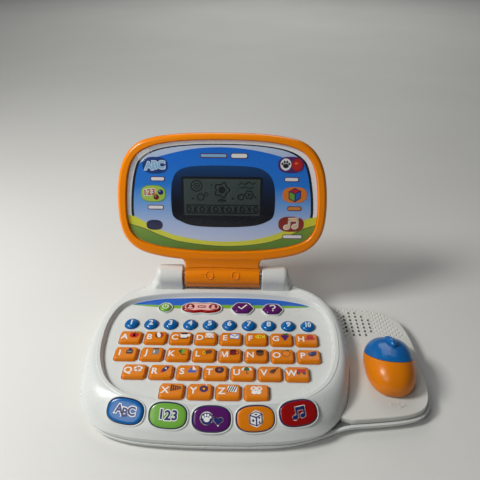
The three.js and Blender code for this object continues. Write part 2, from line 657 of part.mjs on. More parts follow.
function addLid() {
  const lid = new THREE.Group();
  lid.position.set(0, AXIS_Y, AXIS_Z);
  lid.rotation.set(rad(90 - LID_TILT), 0, 0);
  root.add(lid);
  const shellFinish = { color: ORANGE, roughness: 0.35 };
  const display = box(-44, 44, 62, 113, 2.4, 7.2).subtract(box(-39, 39, 68, 107, 6.8, 9));
  addPiece("lid_front_frame", lidFrame(), shellFinish, lid);
  addPiece("screen_lens", screenLens(), { color: 0x2b66a8, roughness: 0.08 }, lid);
  addPiece("lcd_module", display, { color: 0x59635c, roughness: 0.3 }, lid);
  addPiece("lid_rear_cover", lidCover(), shellFinish, lid);
}

// ---------------------------------------------------------------- computer mouse
// Built about its own centre, nose towards +Y, then turned and placed on the pad.
const EGG_LEVELS = [ // share of the height, tuck of the outline towards the foot
  [0, 0.93], [0.1, 0.985], [0.25, 1], [0.42, 1], [0.58, 1], [0.72, 1], [0.84, 1], [0.93, 1],
  [0.985, 1],
];
// The button is the part above a slanted plane y + SPLIT_SLOPE z = SPLIT that climbs
// towards the tail.
const SPLIT = 24.5;
const SPLIT_SLOPE = 1.55;
const BUTTON_LOW = 6.2; // top of the base rim below the button

function eggOutline(scale, shiftY) {
  const halfLength = MOUSE.length / 2;
  return superellipse(MOUSE.width / 2, halfLength, 2 / 0.86, 24).map(({ x, y }) => {
    const along = y / halfLength;
    const taper = 1 + 0.062 * along + 0.061 * along ** 2;
    return new THREE.Vector2(x * taper * scale, y * scale + shiftY);
  });
}

// Body of the mouse, drawn in by an inset and with its floor lifted.
function egg(inset, lift) {
  return loftSolid(EGG_LEVELS.map(([share, tuck]) => {
    const scale = (1 - share ** 2.5) ** (1 / 2.1) * tuck;
    const z = 0.4 + lift + share * (MOUSE.height - inset - lift);
    return [eggOutline(Math.max(0.12, scale - inset / 26), -3.45 * share), z];
  }));
}

// Space in front of and above the slanted plane, set back from it by a gap.
function buttonRegion(gap, low) {
  const reach = SPLIT + gap * Math.hypot(1, SPLIT_SLOPE);
  const high = 60;
  const profile = new THREE.Shape([
    [reach - SPLIT_SLOPE * low, low], [70, low], [70, high], [reach - SPLIT_SLOPE * high, high],
  ].map(toVector));
  const geometry = new THREE.ExtrudeGeometry(profile, { depth: 120, bevelEnabled: false });
  return laidAlongX(geometry, -60, 0, 0);
}

function addMouse() {
  const outer = egg(0, 0);
  const inner = egg(2.4, 2);
  // moulded ridge towards the nose
  const ridge = toManifold(new THREE.SphereGeometry(1, 14, 8)
    .scale(3.3, 8.0, 3.0)
    .rotateX(rad(-16))
    .rotateZ(rad(20))
    .translate(-0.6, 8.5, 23.2));
  const button = outer.intersect(buttonRegion(0.4, BUTTON_LOW + 1.0))
    .subtract(inner)
    .add(ridge.subtract(inner));
  // keel with a retaining foot, running in the pad's slot
  const shell = outer.subtract(buttonRegion(0, BUTTON_LOW))
    .subtract(inner)
    .add(rod(3, 6, "z", [0, 0, -1.2], 14))
    .add(rod(5, 1.6, "z", [0, 0, -3.4], 14));
  const mouse = new THREE.Group();
  mouse.position.set(MOUSE.x, MOUSE.y, PAD_Z);
  mouse.rotation.z = rad(MOUSE.yaw);
  root.add(mouse);
  addPiece("mouse_shell", shell, { color: ORANGE, roughness: 0.3 }, mouse);
  addPiece("mouse_button", button, { color: BLUE, roughness: 0.25 }, mouse);
}

// ---------------------------------------------------------------- assembly
// The keys come before the upper shell, as they list its openings.
addLetterKeys();
addNumberKeys();
addFunctionKeys();
addModeButtons();
addPiece("mouse_pad_deck", mousePadDeck(), { color: GREY, roughness: 0.5 });
addPiece("base_lower_shell", lowerShell(), { color: GREY, roughness: 0.5 });
addPiece("base_upper_shell", upperShell(shellOpenings), { color: WHITE, roughness: 0.42 });
addPiece("battery_door", bayBox(2.6, 0.1, 1.55), { color: GREY, roughness: 0.5 });
addInnerParts();
addLid();
const hingePin = rod(PIN_R, 2 * 57, "x", [0, AXIS_Y, AXIS_Z]);
addPiece("hinge_pin", hingePin, { color: 0xb8bcc0, roughness: 0.25, metalness: 0.9 });
addMouse();

export default root;
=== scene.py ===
# Toy laptop with a wired-style mouse on a side pad. The base lies flat on z = 0 with its front
# edge towards -Y and a carrying loop at +Y. The mouse pad wing is on the +X side. The display
# lid stands on a barrel hinge at y = AXIS_Y and leans back. Shapes are worked out in
# millimetres and turned into metres when a mesh is made.
import functools
import math
import string

import bmesh
import bpy
import numpy as np
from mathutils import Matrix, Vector


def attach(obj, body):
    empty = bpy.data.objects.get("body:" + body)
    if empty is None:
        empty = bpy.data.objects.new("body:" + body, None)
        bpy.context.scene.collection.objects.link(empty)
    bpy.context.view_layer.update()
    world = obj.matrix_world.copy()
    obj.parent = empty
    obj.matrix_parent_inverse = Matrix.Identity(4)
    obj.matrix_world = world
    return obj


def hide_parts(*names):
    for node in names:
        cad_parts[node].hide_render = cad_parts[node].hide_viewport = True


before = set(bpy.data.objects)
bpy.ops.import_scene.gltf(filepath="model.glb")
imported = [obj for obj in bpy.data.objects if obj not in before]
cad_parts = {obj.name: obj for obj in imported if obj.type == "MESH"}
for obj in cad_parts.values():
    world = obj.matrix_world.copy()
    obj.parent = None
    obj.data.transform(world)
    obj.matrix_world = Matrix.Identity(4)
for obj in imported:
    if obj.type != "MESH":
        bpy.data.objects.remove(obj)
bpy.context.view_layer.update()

MM = 0.001
SCENE = bpy.context.scene

# ------------------------------------------------------------------ dimensions, millimetres
SEAM_Z, RIM_Z = 6.5, 30.5
BROW_Z, WIDE_Z, LOW_Z = 30, 17, 11  # heights of the body outlines between rim and seam
DECK_Z, DECK_T = 25.5, 2.2
WALL, GAP = 2.6, 0.35
DRAFT = 1.8  # how far the deck side wall leans in
OUTLINE_STEPS = 4  # curve points per outline station

KEY_PITCH, KEY_W, KEY_D, KEY_TOP = 24.0, 21.5, 15.8, 29.0
KEY_ROWS = [(10.0, 8), (-10.8, 8), (-31.6, 7), (-52.1, 4)]  # y, number of keys
HOLE_PLAY = 0.4  # gap round every key and button
CAP_FOOT_Z, CAP_FLANGE_Z = 21.8, 23.0
HOLE_LOW, HOLE_HIGH = 20.3, 27.5
NUMBER_PITCH, NUMBER_Y, NUMBER_R = 19.33, 29.5, 7.0
FUNCTION_Y = 54.0

SLOPE = 38  # degrees, front slope under the mode buttons
MODE_L, MODE_W = 31.0, 20.0
# name, x, y, yaw in degrees, plastic, slot, scale of the printed picture
MODES = [
    ("letters_mode_button", -71.6, -70.6, -11, "blue", "key_blue", 1.0),
    ("numbers_mode_button", -36.1, -74.3, -4, "green", "button_green", 1.0),
    ("animals_mode_button", -0.6, -76.3, 0, "purple", "button_purple", 0.84),
    ("games_mode_button", 34.9, -75.2, 4, "key", "key_orange", 0.96),
    ("music_mode_button", 69.9, -69.9, 11, "red", "button_red", 0.80),
]

AXIS_Y, AXIS_Z, BARREL_R, BARREL_HALF = 90.5, 40.5, 12.0, 39.5
POST_IN, POST_OUT, PIN_R, PIN_PLAY = 42.0, 70.5, 3.0, 0.3
LEAN = math.radians(17)
LEAN_SIN, LEAN_COS = math.sin(LEAN), math.cos(LEAN)
LID_FACE, LID_BACK = 10.5, -10.5
PAD_Z, PAD_T = 12.0, 2.0
MOUSE_X, MOUSE_Y, MOUSE_YAW = 158.85, -11.0, -4.1
MOUSE_W, MOUSE_L, MOUSE_H = 46.2, 66.4, 25.7

# Right half of the body from back to front. Columns are x, y on the deck edge, the rim, the
# widest outline (WIDE_Z), the lower one (LOW_Z) and the seam (SEAM_Z).
BODY = [
    [[0, 75], [0, 104], [0, 107], [0, 108], [0, 108]],
    [[26, 74.3], [28, 104], [28, 107], [28, 108], [28, 108]],
    [[50, 72.5], [54, 103], [56, 106], [57, 107], [57, 107]],
    [[66, 70.3], [70, 97], [75, 100], [77, 101], [77, 100]],
    [[76, 68], [79, 85], [86, 90], [88, 91.5], [87.5, 91]],
    [[88, 64], [91.5, 76], [98, 82.5], [100, 84], [99, 83]],
    [[97.5, 58.3], [101.5, 65], [109, 71], [110.5, 72], [109.5, 71]],
    [[104, 50], [108, 53.5], [116.5, 57], [117.5, 57.5], [116.5, 57]],
    [[108.2, 36.5], [112.2, 38], [121.2, 39], [121.8, 39], [120.8, 39]],
    [[109.8, 22], [113.6, 21.5], [122.9, 20], [123.4, 20], [122.3, 20]],
    [[109.4, 8.5], [113.2, 7], [122.6, 4], [123.2, 4], [122.2, 3]],
    [[108.2, -4.5], [112, -6.5], [121.6, -12], [122.2, -12], [121.4, -10]],
    [[105.6, -17], [109.3, -19.3], [118.8, -26], [120.3, -24.5], [119.8, -21]],
    [[101.5, -28.5], [105, -31], [115.8, -39], [118.2, -36.5], [117.8, -32.5]],
    [[95.8, -39.5], [98.9, -41.9], [110.8, -52.5], [114.8, -49], [114.3, -46]],
    [[89.5, -47], [92, -49.7], [103, -63], [108.6, -61.5], [108, -60]],
    [[82, -52.7], [84.2, -55.7], [93.5, -70.3], [100.6, -71], [100.2, -69.8]],
    [[74.3, -57], [76, -60.3], [83, -76], [90.6, -78.6], [90.6, -78]],
    [[61, -61], [62, -64.3], [67, -80.3], [75, -83.9], [75.2, -84]],
    [[44, -63.2], [44.5, -66.6], [48, -82.9], [57, -87], [57.5, -87.3]],
    [[22, -64.4], [22, -67.8], [24, -84.1], [30, -88.5], [30, -89]],
    [[0, -64.7], [0, -68.2], [0, -84.4], [0, -88.8], [0, -89.4]],
]
# Per BODY row: extra width on the left side, and how round the shoulder is (0 straight, 1 arc)
LEFT_BULGE = [0] * 9 + [0.3, 0.9, 1.7, 2.6, 3.2, 3.2, 2.7, 1.9, 1.1, 0.4, 0, 0, 0]
SHOULDER_ROUND = [0.8] * 4 + [0.9] + [1] * 8 + [0.9, 0.72, 0.5, 0.3, 0.12, 0.04, 0, 0, 0]
# x, y round the mouse pad wing, back to front
PAD = [
    [96, 81.5], [107, 79.3], [119.7, 77.2], [132.3, 74.8], [147.9, 71.9], [163.3, 68.6],
    [175.9, 63.2], [183.7, 55], [188.2, 41.7], [190.0, 27.6], [190.7, 14.2], [190.7, -1.1],
    [190.0, -16.8], [189.1, -29], [187.5, -39.2], [184.8, -46.7], [180.6, -52.9],
    [174.4, -57.1], [165.2, -60.3], [152.2, -62.8], [130.9, -65.2], [116, -66.6],
]
# x, y of the lower shell's right side, back to front
LOWER_RIGHT = [
    [0, 108], [28, 108], [57, 107], [77, 100], [88, 91.5], [98, 85.5], [108, 82.2],
    [120, 79.8], [133, 77.3], [149, 74.2], [165, 70.9], [178, 65.4], [186.6, 56.5],
    [191.2, 43], [193, 28], [193.5, 14], [193.4, -1], [192.8, -17], [191.8, -29.5],
    [190, -40], [187, -48.3], [182.3, -54.8], [175.4, -59.6], [165.2, -63.1], [150, -65.8],
    [131.7, -68], [117, -69.6], [107, -72.2], [98, -75.6], [89, -79.2], [79.9, -82.4],
    [67, -85.9], [52, -88.2], [30, -89.3], [0, -89.8],
]
# Right half of the carrying loop, x, y
HANDLE = [
    [0, 149.5], [30, 149], [54, 146.5], [65, 141], [70.5, 133], [74, 123], [78, 110],
    [84, 97], [87, 90], [60, 84], [0, 84],
]
# Right halves in the lid's own plane, x and distance up from the hinge axis: the outside,
# the lens opening, and the edge of the printed border
LID_OUT = [
    [0, 151.2], [27.6, 150.9], [47, 149.7], [66.6, 147], [80.8, 142.9], [90.4, 136],
    [97.3, 126.6], [102.2, 114.8], [105, 101], [106.3, 86], [106.4, 71], [105.2, 58.5],
    [102.2, 48], [97, 39.5], [90.2, 33.2], [81, 28.4], [66, 24.3], [47, 21.4], [24, 19.8],
    [0, 19.2],
]
LID_IN = [
    [0, 145.2], [29, 144.6], [53, 142.4], [70, 138.5], [81.5, 132.8], [89, 124.5],
    [93.6, 113], [96.4, 96.5], [97.5, 78.5], [97.2, 65], [94, 52], [86, 42.6], [72, 36.8],
    [51.5, 32.8], [24, 30.5], [0, 30],
]
BORDER_IN = [
    [0, 139.9], [29, 139.2], [51, 137], [65.7, 133.7], [75.6, 129], [83, 122], [87.2, 111],
    [90, 96.5], [91.6, 81], [91.6, 66], [88, 54], [80, 46], [60, 40], [30, 38], [0, 38],
]


# ------------------------------------------------------------------ outline maths
def array(points):
    return np.asarray(points, float)


def unit(vectors):
    return vectors / np.maximum(np.linalg.norm(vectors, axis=1, keepdims=True), 1e-9)


def mirrored(half):
    """Closes a right half from back to front with its mirror image, anticlockwise."""
    half = array(half)
    return np.vstack([half * [-1, 1], half[1:-1][::-1]])


def offset(points, distance):
    """Moves an anticlockwise closed outline outwards."""
    p = array(points)
    before = unit(p - np.roll(p, 1, 0))
    after = unit(np.roll(p, -1, 0) - p)
    normal_before = np.stack([before[:, 1], -before[:, 0]], 1)
    normal_after = np.stack([after[:, 1], -after[:, 0]], 1)
    mitre = unit(normal_before + normal_after)
    stretch = np.minimum(1.6, 1 / np.maximum(0.5, (mitre * normal_after).sum(1)))
    return p + mitre * (distance * stretch)[:, None]


def smooth(points, steps):
    """Centripetal Catmull-Rom curve through a closed outline."""
    p = array(points)
    out = []
    count = len(p)
    for i in range(count):
        p0, p1, p2, p3 = p[i - 1], p[i], p[(i + 1) % count], p[(i + 2) % count]
        t0 = 0.0
        t1 = t0 + max(np.linalg.norm(p1 - p0), 1e-6) ** 0.5
        t2 = t1 + max(np.linalg.norm(p2 - p1), 1e-6) ** 0.5
        t3 = t2 + max(np.linalg.norm(p3 - p2), 1e-6) ** 0.5
        for j in range(steps):
            t = t1 + (t2 - t1) * j / steps
            a1 = (t1 - t) / (t1 - t0) * p0 + (t - t0) / (t1 - t0) * p1
            a2 = (t2 - t) / (t2 - t1) * p1 + (t - t1) / (t2 - t1) * p2
            a3 = (t3 - t) / (t3 - t2) * p2 + (t - t2) / (t3 - t2) * p3
            b1 = (t2 - t) / (t2 - t0) * a1 + (t - t0) / (t2 - t0) * a2
            b2 = (t3 - t) / (t3 - t1) * a2 + (t - t1) / (t3 - t1) * a3
            out.append((t2 - t) / (t2 - t1) * b1 + (t - t1) / (t2 - t1) * b2)
    return array(out)


def spline(points, steps):
    """Uniform Catmull-Rom curve along an open path."""
    p = array(points)
    q = np.vstack([2 * p[0] - p[1], p, 2 * p[-1] - p[-2]])
    out = []
    for i in range(1, len(q) - 2):
        a, b, c, d = q[i - 1], q[i], q[i + 1], q[i + 2]
        for t in np.linspace(0, 1, steps, endpoint=False):
            bend = (2 * a - 5 * b + 4 * c - d) * t * t + (3 * b - a - 3 * c + d) * t ** 3
            out.append(0.5 * ((2 * b) + (c - a) * t + bend))
    out.append(p[-1])
    return array(out)


def at(points, x, y):
    return array(points) + [x, y]


def turned(points, degrees):
    angle = math.radians(degrees)
    sine, cosine = math.sin(angle), math.cos(angle)
    return points @ array([[cosine, sine], [-sine, cosine]])


def ring(points, z):
    p = array(points)
    return np.column_stack([p, np.full(len(p), z)])


def rounded(width, depth, radius, steps=6):
    points = []
    for side_x, side_y, start in ((1, 1, 0), (-1, 1, 90), (-1, -1, 180), (1, -1, 270)):
        for i in range(steps + 1):
            angle = math.radians(start + 90 * i / steps)
            points.append((side_x * (width / 2 - radius) + radius * math.cos(angle),
                           side_y * (depth / 2 - radius) + radius * math.sin(angle)))
    return array(points)


def superellipse(half_x, half_y, power=2.0, count=32):
    t = np.arange(count) * 2 * math.pi / count
    c, s = np.cos(t), np.sin(t)
    return np.stack([half_x * np.sign(c) * np.abs(c) ** (2 / power),
                     half_y * np.sign(s) * np.abs(s) ** (2 / power)], 1)


def disc(x, y, half_x, half_y=None, turn=0, count=24, power=2.0):
    half_y = half_x if half_y is None else half_y
    return at(turned(superellipse(half_x, half_y, power, count), turn), x, y)


def rect(x, y, width, height, turn=0, radius=0.15):
    corner = min(radius, width / 2.01, height / 2.01)
    return at(turned(rounded(width, height, corner, 3), turn), x, y)


def stroke(path, width):
    """Ribbon along an open path, as a closed outline."""
    p = array(path)
    along = unit(np.gradient(p, axis=0))
    side = np.stack([along[:, 1], -along[:, 0]], 1) * width / 2
    return np.vstack([p + side, (p - side)[::-1]])


def heart(x, y, size):
    t = np.linspace(0, 2 * math.pi, 33)[:-1]
    lobes = 13 * np.cos(t) - 5 * np.cos(2 * t) - 2 * np.cos(3 * t) - np.cos(4 * t)
    across = x + size * 0.0625 * 16 * np.sin(t) ** 3
    return np.stack([across, y + size * 0.0625 * lobes], 1)[::-1]


def paw(x, y, size):
    toes = ((-2.0, 0.7), (-0.75, 1.75), (0.75, 1.75), (2.0, 0.7))
    return [disc(x, y - 0.5 * size, 1.7 * size, 1.35 * size)] + [
        disc(x + dx * size, y + dy * size, 0.62 * size, 0.8 * size) for dx, dy in toes]


def hollow(x, y, radius_x, radius_y, width, count=29):
    """Closed band of the given width; radii may vary from point to point."""
    t = np.linspace(0, 2 * math.pi, count)
    back = t[::-1]
    outer = np.stack([x + radius_x * np.cos(t), y + radius_y * np.sin(t)], 1)
    inner = np.stack([x + (radius_x - width) * np.cos(back),
                      y + (radius_y - width) * np.sin(back)], 1)
    return np.vstack([outer, inner])


def circle_band(x, y, radius, width):
    return hollow(x, y, radius, radius, width)


def bloom(x, y, radius, petals, width):
    """Petalled outline."""
    wavy = radius * (1 + 0.16 * np.cos(petals * np.linspace(0, 2 * math.pi, 73)))
    return hollow(x, y, wavy, wavy, width, 73)


def anticlockwise(points):
    p = array(points)
    x, y = p.T
    return p if (x * np.roll(y, -1) - np.roll(x, -1) * y).sum() > 0 else p[::-1]


def body_ring(z, inset=0.0, steps=OUTLINE_STEPS):
    """Outline of the body at height z."""
    points = []
    for i, (_, rim, wide, low, seam) in enumerate(BODY):
        rim, wide, low, seam = map(array, (rim, wide, low, seam))
        if z >= WIDE_Z:
            drop = max(0.0, min(1.0, (BROW_Z - z) / (BROW_Z - WIDE_Z)))
            arc = math.sqrt(max(0.0, 1 - (1 - drop) ** 2))
            points.append(rim + (wide - rim) * (drop + SHOULDER_ROUND[i] * (arc - drop)))
        elif z >= LOW_Z:
            t = (WIDE_Z - z) / (WIDE_Z - LOW_Z)
            t = t * t * (3 - 2 * t) if i < 12 else t
            points.append(wide + (low - wide) * t)
        else:
            points.append(low + (seam - low) * (LOW_Z - z) / (LOW_Z - SEAM_Z))
    p = mirrored(points)
    share = 1.0
    if z > WIDE_Z:
        share = 1 - min(1.0, (z - WIDE_Z) / (BROW_Z - WIDE_Z)) ** 1.6
    bulge = np.zeros(len(p))
    bulge[:len(BODY)] = np.array(LEFT_BULGE) * share
    p = p + (offset(p, 1.0) - p) * bulge[:, None]
    if steps > 1:
        p = smooth(p, steps)
    return offset(p, -inset)


# ------------------------------------------------------------------ mesh building
def band(low, high, count):
    """Quads between two rings that start at vertices low and high."""
    return [(low + i, low + (i + 1) % count, high + (i + 1) % count, high + i)
            for i in range(count)]


class Geo:
    """Vertices in millimetres, faces, and a material index per face."""

    def __init__(self):
        self.verts, self.faces, self.slots = [], [], []

    def add(self, verts, faces, slot=0):
        base = len(self.verts)
        self.verts.extend([tuple(map(float, p)) for p in verts])
        self.faces.extend([tuple(base + i for i in face) for face in faces])
        self.slots.extend([slot] * len(faces))
        return self

    def loft(self, rings, slot=0, top=True, closed=False):
        count, levels = len(rings[0]), len(rings)
        faces = []
        for k in range(levels if closed else levels - 1):
            faces += band(k * count, (k + 1) % levels * count, count)
        if not closed:
            faces.append(tuple(range(count))[::-1])
            if top:
                faces.append(tuple((levels - 1) * count + i for i in range(count)))
        return self.add(np.vstack(rings), faces, slot)

    def crown(self, rings):
        """Carries a loft without a top on through more rings and closes it."""
        count = len(rings[0])
        for points in rings:
            self.add(points, band(-count, 0, count))
        return self.add([], [tuple(range(-count, 0))])

    def stack(self, outline, *levels):
        """Lofts one outline through (z, outward offset) levels."""
        return self.loft([ring(offset(outline, grow), z) for z, grow in levels])

    def round(self, x, y, *levels, count=24):
        """Turned shape through (z, radius) levels."""
        return self.loft([ring(disc(x, y, r, count=count), z) for z, r in levels])

    def prism(self, points, z0, z1, slot=0):
        return self.loft([ring(points, z0), ring(points, z1)], slot)


def box(x0, x1, y0, y1, z0, z1):
    return Geo().prism([(x0, y0), (x1, y0), (x1, y1), (x0, y1)], z0, z1)


def raw(name, geo, place=None):
    """Makes an object; place, if given, maps the vertices first."""
    mesh = bpy.data.meshes.new(name)
    verts = array(geo.verts)
    if place is not None:
        verts = place(verts)
    mesh.from_pydata((verts * MM).tolist(), [], geo.faces)
    mesh.validate()
    if any(geo.slots):
        mesh.polygons.foreach_set("material_index", geo.slots)
    ob = bpy.data.objects.new(name, mesh)
    SCENE.collection.objects.link(ob)
    return ob


def edit(mesh, *steps):
    """Runs bmesh steps on a mesh."""
    bm = bmesh.new()
    bm.from_mesh(mesh)
    for step in steps:
        step(bm)
    bm.to_mesh(mesh)
    bm.free()


def face_outwards(bm):
    bmesh.ops.recalc_face_normals(bm, faces=bm.faces)


def clean(ob, distance=0.004):
    """Merges vertices closer than distance in millimetres."""
    def merge(bm):
        bmesh.ops.remove_doubles(bm, verts=bm.verts, dist=distance * MM)
        bmesh.ops.dissolve_degenerate(bm, edges=bm.edges, dist=distance * MM)
    edit(ob.data, merge, face_outwards)


def evaluated(ob):
    graph = bpy.context.evaluated_depsgraph_get()
    graph.update()
    return bpy.data.meshes.new_from_object(ob.evaluated_get(graph))


def boolean(ob, other, operation="DIFFERENCE"):
    """Applies a boolean with another object or Geo, which is used up."""
    if not isinstance(other, bpy.types.Object):
        other = raw("cutter", other)
    for each in (ob, other):
        edit(each.data, face_outwards)
    modifier = ob.modifiers.new("b", "BOOLEAN")
    modifier.operation, modifier.object, modifier.solver = operation, other, "MANIFOLD"

    def failed(mesh):
        return len(mesh.polygons) in (0, len(ob.data.polygons))

    # The manifold solver gives nothing or no change on a bad mesh: clean it, then go exact
    mesh = evaluated(ob)
    if failed(mesh):
        clean(ob, 0.002)
        mesh = evaluated(ob)
    if failed(mesh):
        modifier.solver = "EXACT"
        mesh = evaluated(ob)
    ob.modifiers.clear()
    old = ob.data
    ob.data = mesh
    bpy.data.meshes.remove(old)
    bpy.data.objects.remove(other)
    return ob


def move(ob, place):
    """Maps the vertices of a finished mesh."""
    verts = array([tuple(v.co / MM) for v in ob.data.vertices])
    for vertex, point in zip(ob.data.vertices, place(verts) * MM):
        vertex.co = point
    return ob


def join(objects, name):
    geo = Geo()
    for ob in objects:
        geo.add([tuple(v.co / MM) for v in ob.data.vertices],
                [tuple(p.vertices) for p in ob.data.polygons])
        bpy.data.objects.remove(ob)
    return raw(name, geo)


def finish(ob, name, body, materials, replaces=None, angle=30, weighted=True):
    """Names and dresses a piece; edges bent by more than angle stay sharp."""
    ob.name = name
    mesh = ob.data
    mesh.name = name
    index = np.zeros(len(mesh.polygons), np.int32)
    mesh.polygons.foreach_get("material_index", index)
    mesh.materials.clear()
    for material in materials:
        mesh.materials.append(material)
    mesh.polygons.foreach_set("material_index", np.minimum(index, len(materials) - 1))

    def mark(bm):
        limit = math.radians(angle)
        for face in bm.faces:
            face.smooth = True
        for edge in bm.edges:
            edge.smooth = len(edge.link_faces) == 2 and edge.calc_face_angle(0.0) < limit

    edit(mesh, mark)
    if weighted:
        normals = ob.modifiers.new("normals", "WEIGHTED_NORMAL")
        normals.keep_sharp = True
        normals.weight = 60
    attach(ob, body)
    if replaces:
        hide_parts(replaces)


def piece(name, geo, body, materials, replaces=None, angle=30, place=None):
    finish(raw(name, geo, place), name, body, materials, replaces, angle, False)


# ------------------------------------------------------------------ materials
def linear(rgb):
    """Scene colour from an 8-bit sRGB triple."""
    return tuple(v / 255 / 12.92 if v / 255 <= 0.04045 else ((v / 255 + 0.055) / 1.055) ** 2.4
                 for v in rgb) + (1.0,)


def feed(tree, target, values):
    """Sets node inputs; a socket as value is linked instead."""
    for key, value in values.items():
        if isinstance(value, bpy.types.NodeSocket):
            tree.links.new(value, target.inputs[key])
        else:
            target.inputs[key].default_value = value


def add_node(tree, kind, values=None, **settings):
    new = tree.nodes.new("ShaderNode" + kind)
    for key, value in settings.items():
        setattr(new, key, value)
    feed(tree, new, values or {})
    return new


def new_material(name, rgb=None):
    """Returns the material, its node tree, its shader and object coordinates."""
    material = bpy.data.materials.new(name)
    material.use_nodes = True
    if rgb:
        material.diffuse_color = linear(rgb)
    tree = material.node_tree
    place = add_node(tree, "TexCoord").outputs["Object"]
    return material, tree, tree.nodes["Principled BSDF"], place


def noise(tree, place, scale, detail, distortion=0.0):
    values = {"Vector": place, "Scale": scale, "Detail": detail, "Distortion": distortion}
    return add_node(tree, "TexNoise", values).outputs["Fac"]


def remap(tree, value, to, source=(0.0, 1.0)):
    """Maps the source range on to another."""
    values = {"Value": value, "From Min": source[0], "From Max": source[1],
              "To Min": to[0], "To Max": to[1]}
    return add_node(tree, "MapRange", values).outputs[0]


def math_node(tree, operation, first, second):
    return add_node(tree, "Math", {0: first, 1: second}, operation=operation).outputs[0]


def shaded(tree, rgb, factor):
    """Plain colour scaled by a factor."""
    base = add_node(tree, "RGB")
    base.outputs[0].default_value = linear(rgb)
    values = {0: base.outputs[0], "Scale": factor}
    return add_node(tree, "VectorMath", values, operation="SCALE").outputs[0]


def plastic(name, rgb, rough, coat=0.12, grain=0.03, grain_scale=2400, drift=0.03, wear=0.10):
    """Moulded plastic: slow colour drift, fine grain, uneven gloss and paler worn edges."""
    material, tree, shader, place = new_material(name, rgb)
    slow = noise(tree, place, scale=38, detail=3)
    base = shaded(tree, rgb, remap(tree, slow, (1 - drift, 1 + drift)))
    pointiness = add_node(tree, "NewGeometry").outputs["Pointiness"]
    edge = remap(tree, pointiness, (0.0, wear), source=(0.53, 0.64))
    spots = noise(tree, place, scale=420, detail=4)
    worn = math_node(tree, "MULTIPLY", edge, spots)
    pale = tuple(min(1.0, v * 0.55 + 0.42) for v in linear(rgb)[:3]) + (1.0,)
    values = {"Factor": worn, "A": base, "B": pale}
    mix = add_node(tree, "Mix", values, data_type="RGBA")
    # gloss: broad smears and fine hairline scuffs
    smear = noise(tree, place, scale=90, detail=6, distortion=1.5)
    stretch = {"Vector": place, "Scale": (1.0, 14.0, 14.0), "Rotation": (0.1, 0.2, 0.6)}
    stretched = add_node(tree, "Mapping", stretch).outputs["Vector"]
    scuff = noise(tree, stretched, scale=160, detail=5)
    smear_gloss = remap(tree, smear, (rough * 0.85, rough * 1.25), source=(0.35, 0.75))
    scuff_gloss = remap(tree, scuff, (0.0, 0.16), source=(0.62, 0.8))
    roughness = math_node(tree, "ADD", smear_gloss, scuff_gloss)
    fine = noise(tree, place, scale=grain_scale, detail=2)
    bump = add_node(tree, "Bump", {"Strength": grain, "Distance": 0.0002, "Height": fine})
    feed(tree, shader, {
        "Base Color": mix.outputs["Result"], "Roughness": roughness,
        "Normal": bump.outputs["Normal"], "Coat Weight": coat, "Coat Roughness": 0.08,
        "Specular IOR Level": 0.36, "IOR": 1.5})
    return material


def metal(name, rgb, rough):
    material = plastic(name, rgb, rough, coat=0, grain=0.08, grain_scale=3000, drift=0.05, wear=0)
    material.node_tree.nodes["Principled BSDF"].inputs["Metallic"].default_value = 1.0
    return material


def ink(name, rgb, rough=0.35):
    """Printed ink: flat colour with a faint mottle."""
    material, tree, shader, place = new_material(name, rgb)
    mottle = noise(tree, place, scale=1500, detail=3)
    colour = shaded(tree, rgb, remap(tree, mottle, (0.93, 1.06)))
    roughness = remap(tree, mottle, (rough * 0.8, rough * 1.2))
    feed(tree, shader, {"Base Color": colour, "Roughness": roughness})
    return material


def lid_gradient(name, stops, low, high, rough=0.3):
    """Ink whose colour runs up the lid between two distances from the hinge axis."""
    def height(up):
        return (AXIS_Y * LEAN_SIN + up + AXIS_Z * LEAN_COS) * MM
    material, tree, shader, place = new_material(name)
    dot = add_node(tree, "VectorMath", {0: place, 1: (0.0, LEAN_SIN, LEAN_COS)},
                   operation="DOT_PRODUCT")
    run = remap(tree, dot.outputs["Value"], (0.0, 1.0), source=(height(low), height(high)))
    wobble = remap(tree, noise(tree, place, scale=24, detail=2), (-0.05, 0.05))
    ramp = add_node(tree, "ValToRGB", {"Fac": math_node(tree, "ADD", run, wobble)})
    elements = ramp.color_ramp.elements
    for element, (position, rgb) in zip(elements, (stops[0], stops[-1])):
        element.position, element.color = position, linear(rgb)
    for position, rgb in stops[1:-1]:
        elements.new(position).color = linear(rgb)
    feed(tree, shader, {"Base Color": ramp.outputs["Color"], "Roughness": rough})
    return material


def clear_lens(name):
    """See-through gloss with a Fresnel reflection on the front faces and faint smudges."""
    material = bpy.data.materials.new(name)
    material.use_nodes = True
    tree = material.node_tree
    tree.nodes.clear()
    output = add_node(tree, "OutputMaterial")
    clear = add_node(tree, "BsdfTransparent", {"Color": (0.97, 0.98, 0.985, 1)})
    gloss = add_node(tree, "BsdfGlossy")
    place = add_node(tree, "TexCoord").outputs["Object"]
    smudge = noise(tree, place, scale=60, detail=5, distortion=1.2)
    feed(tree, gloss, {"Roughness": remap(tree, smudge, (0.03, 0.08), source=(0.4, 0.75))})
    fresnel = add_node(tree, "Fresnel", {"IOR": 1.5}).outputs[0]
    behind = add_node(tree, "NewGeometry").outputs["Backfacing"]
    facing = math_node(tree, "SUBTRACT", 1.0, behind)
    share = math_node(tree, "MULTIPLY", fresnel, facing)
    mix = add_node(tree, "MixShader", {0: share, 1: clear.outputs[0], 2: gloss.outputs[0]})
    feed(tree, output, {"Surface": mix.outputs[0]})
    return material


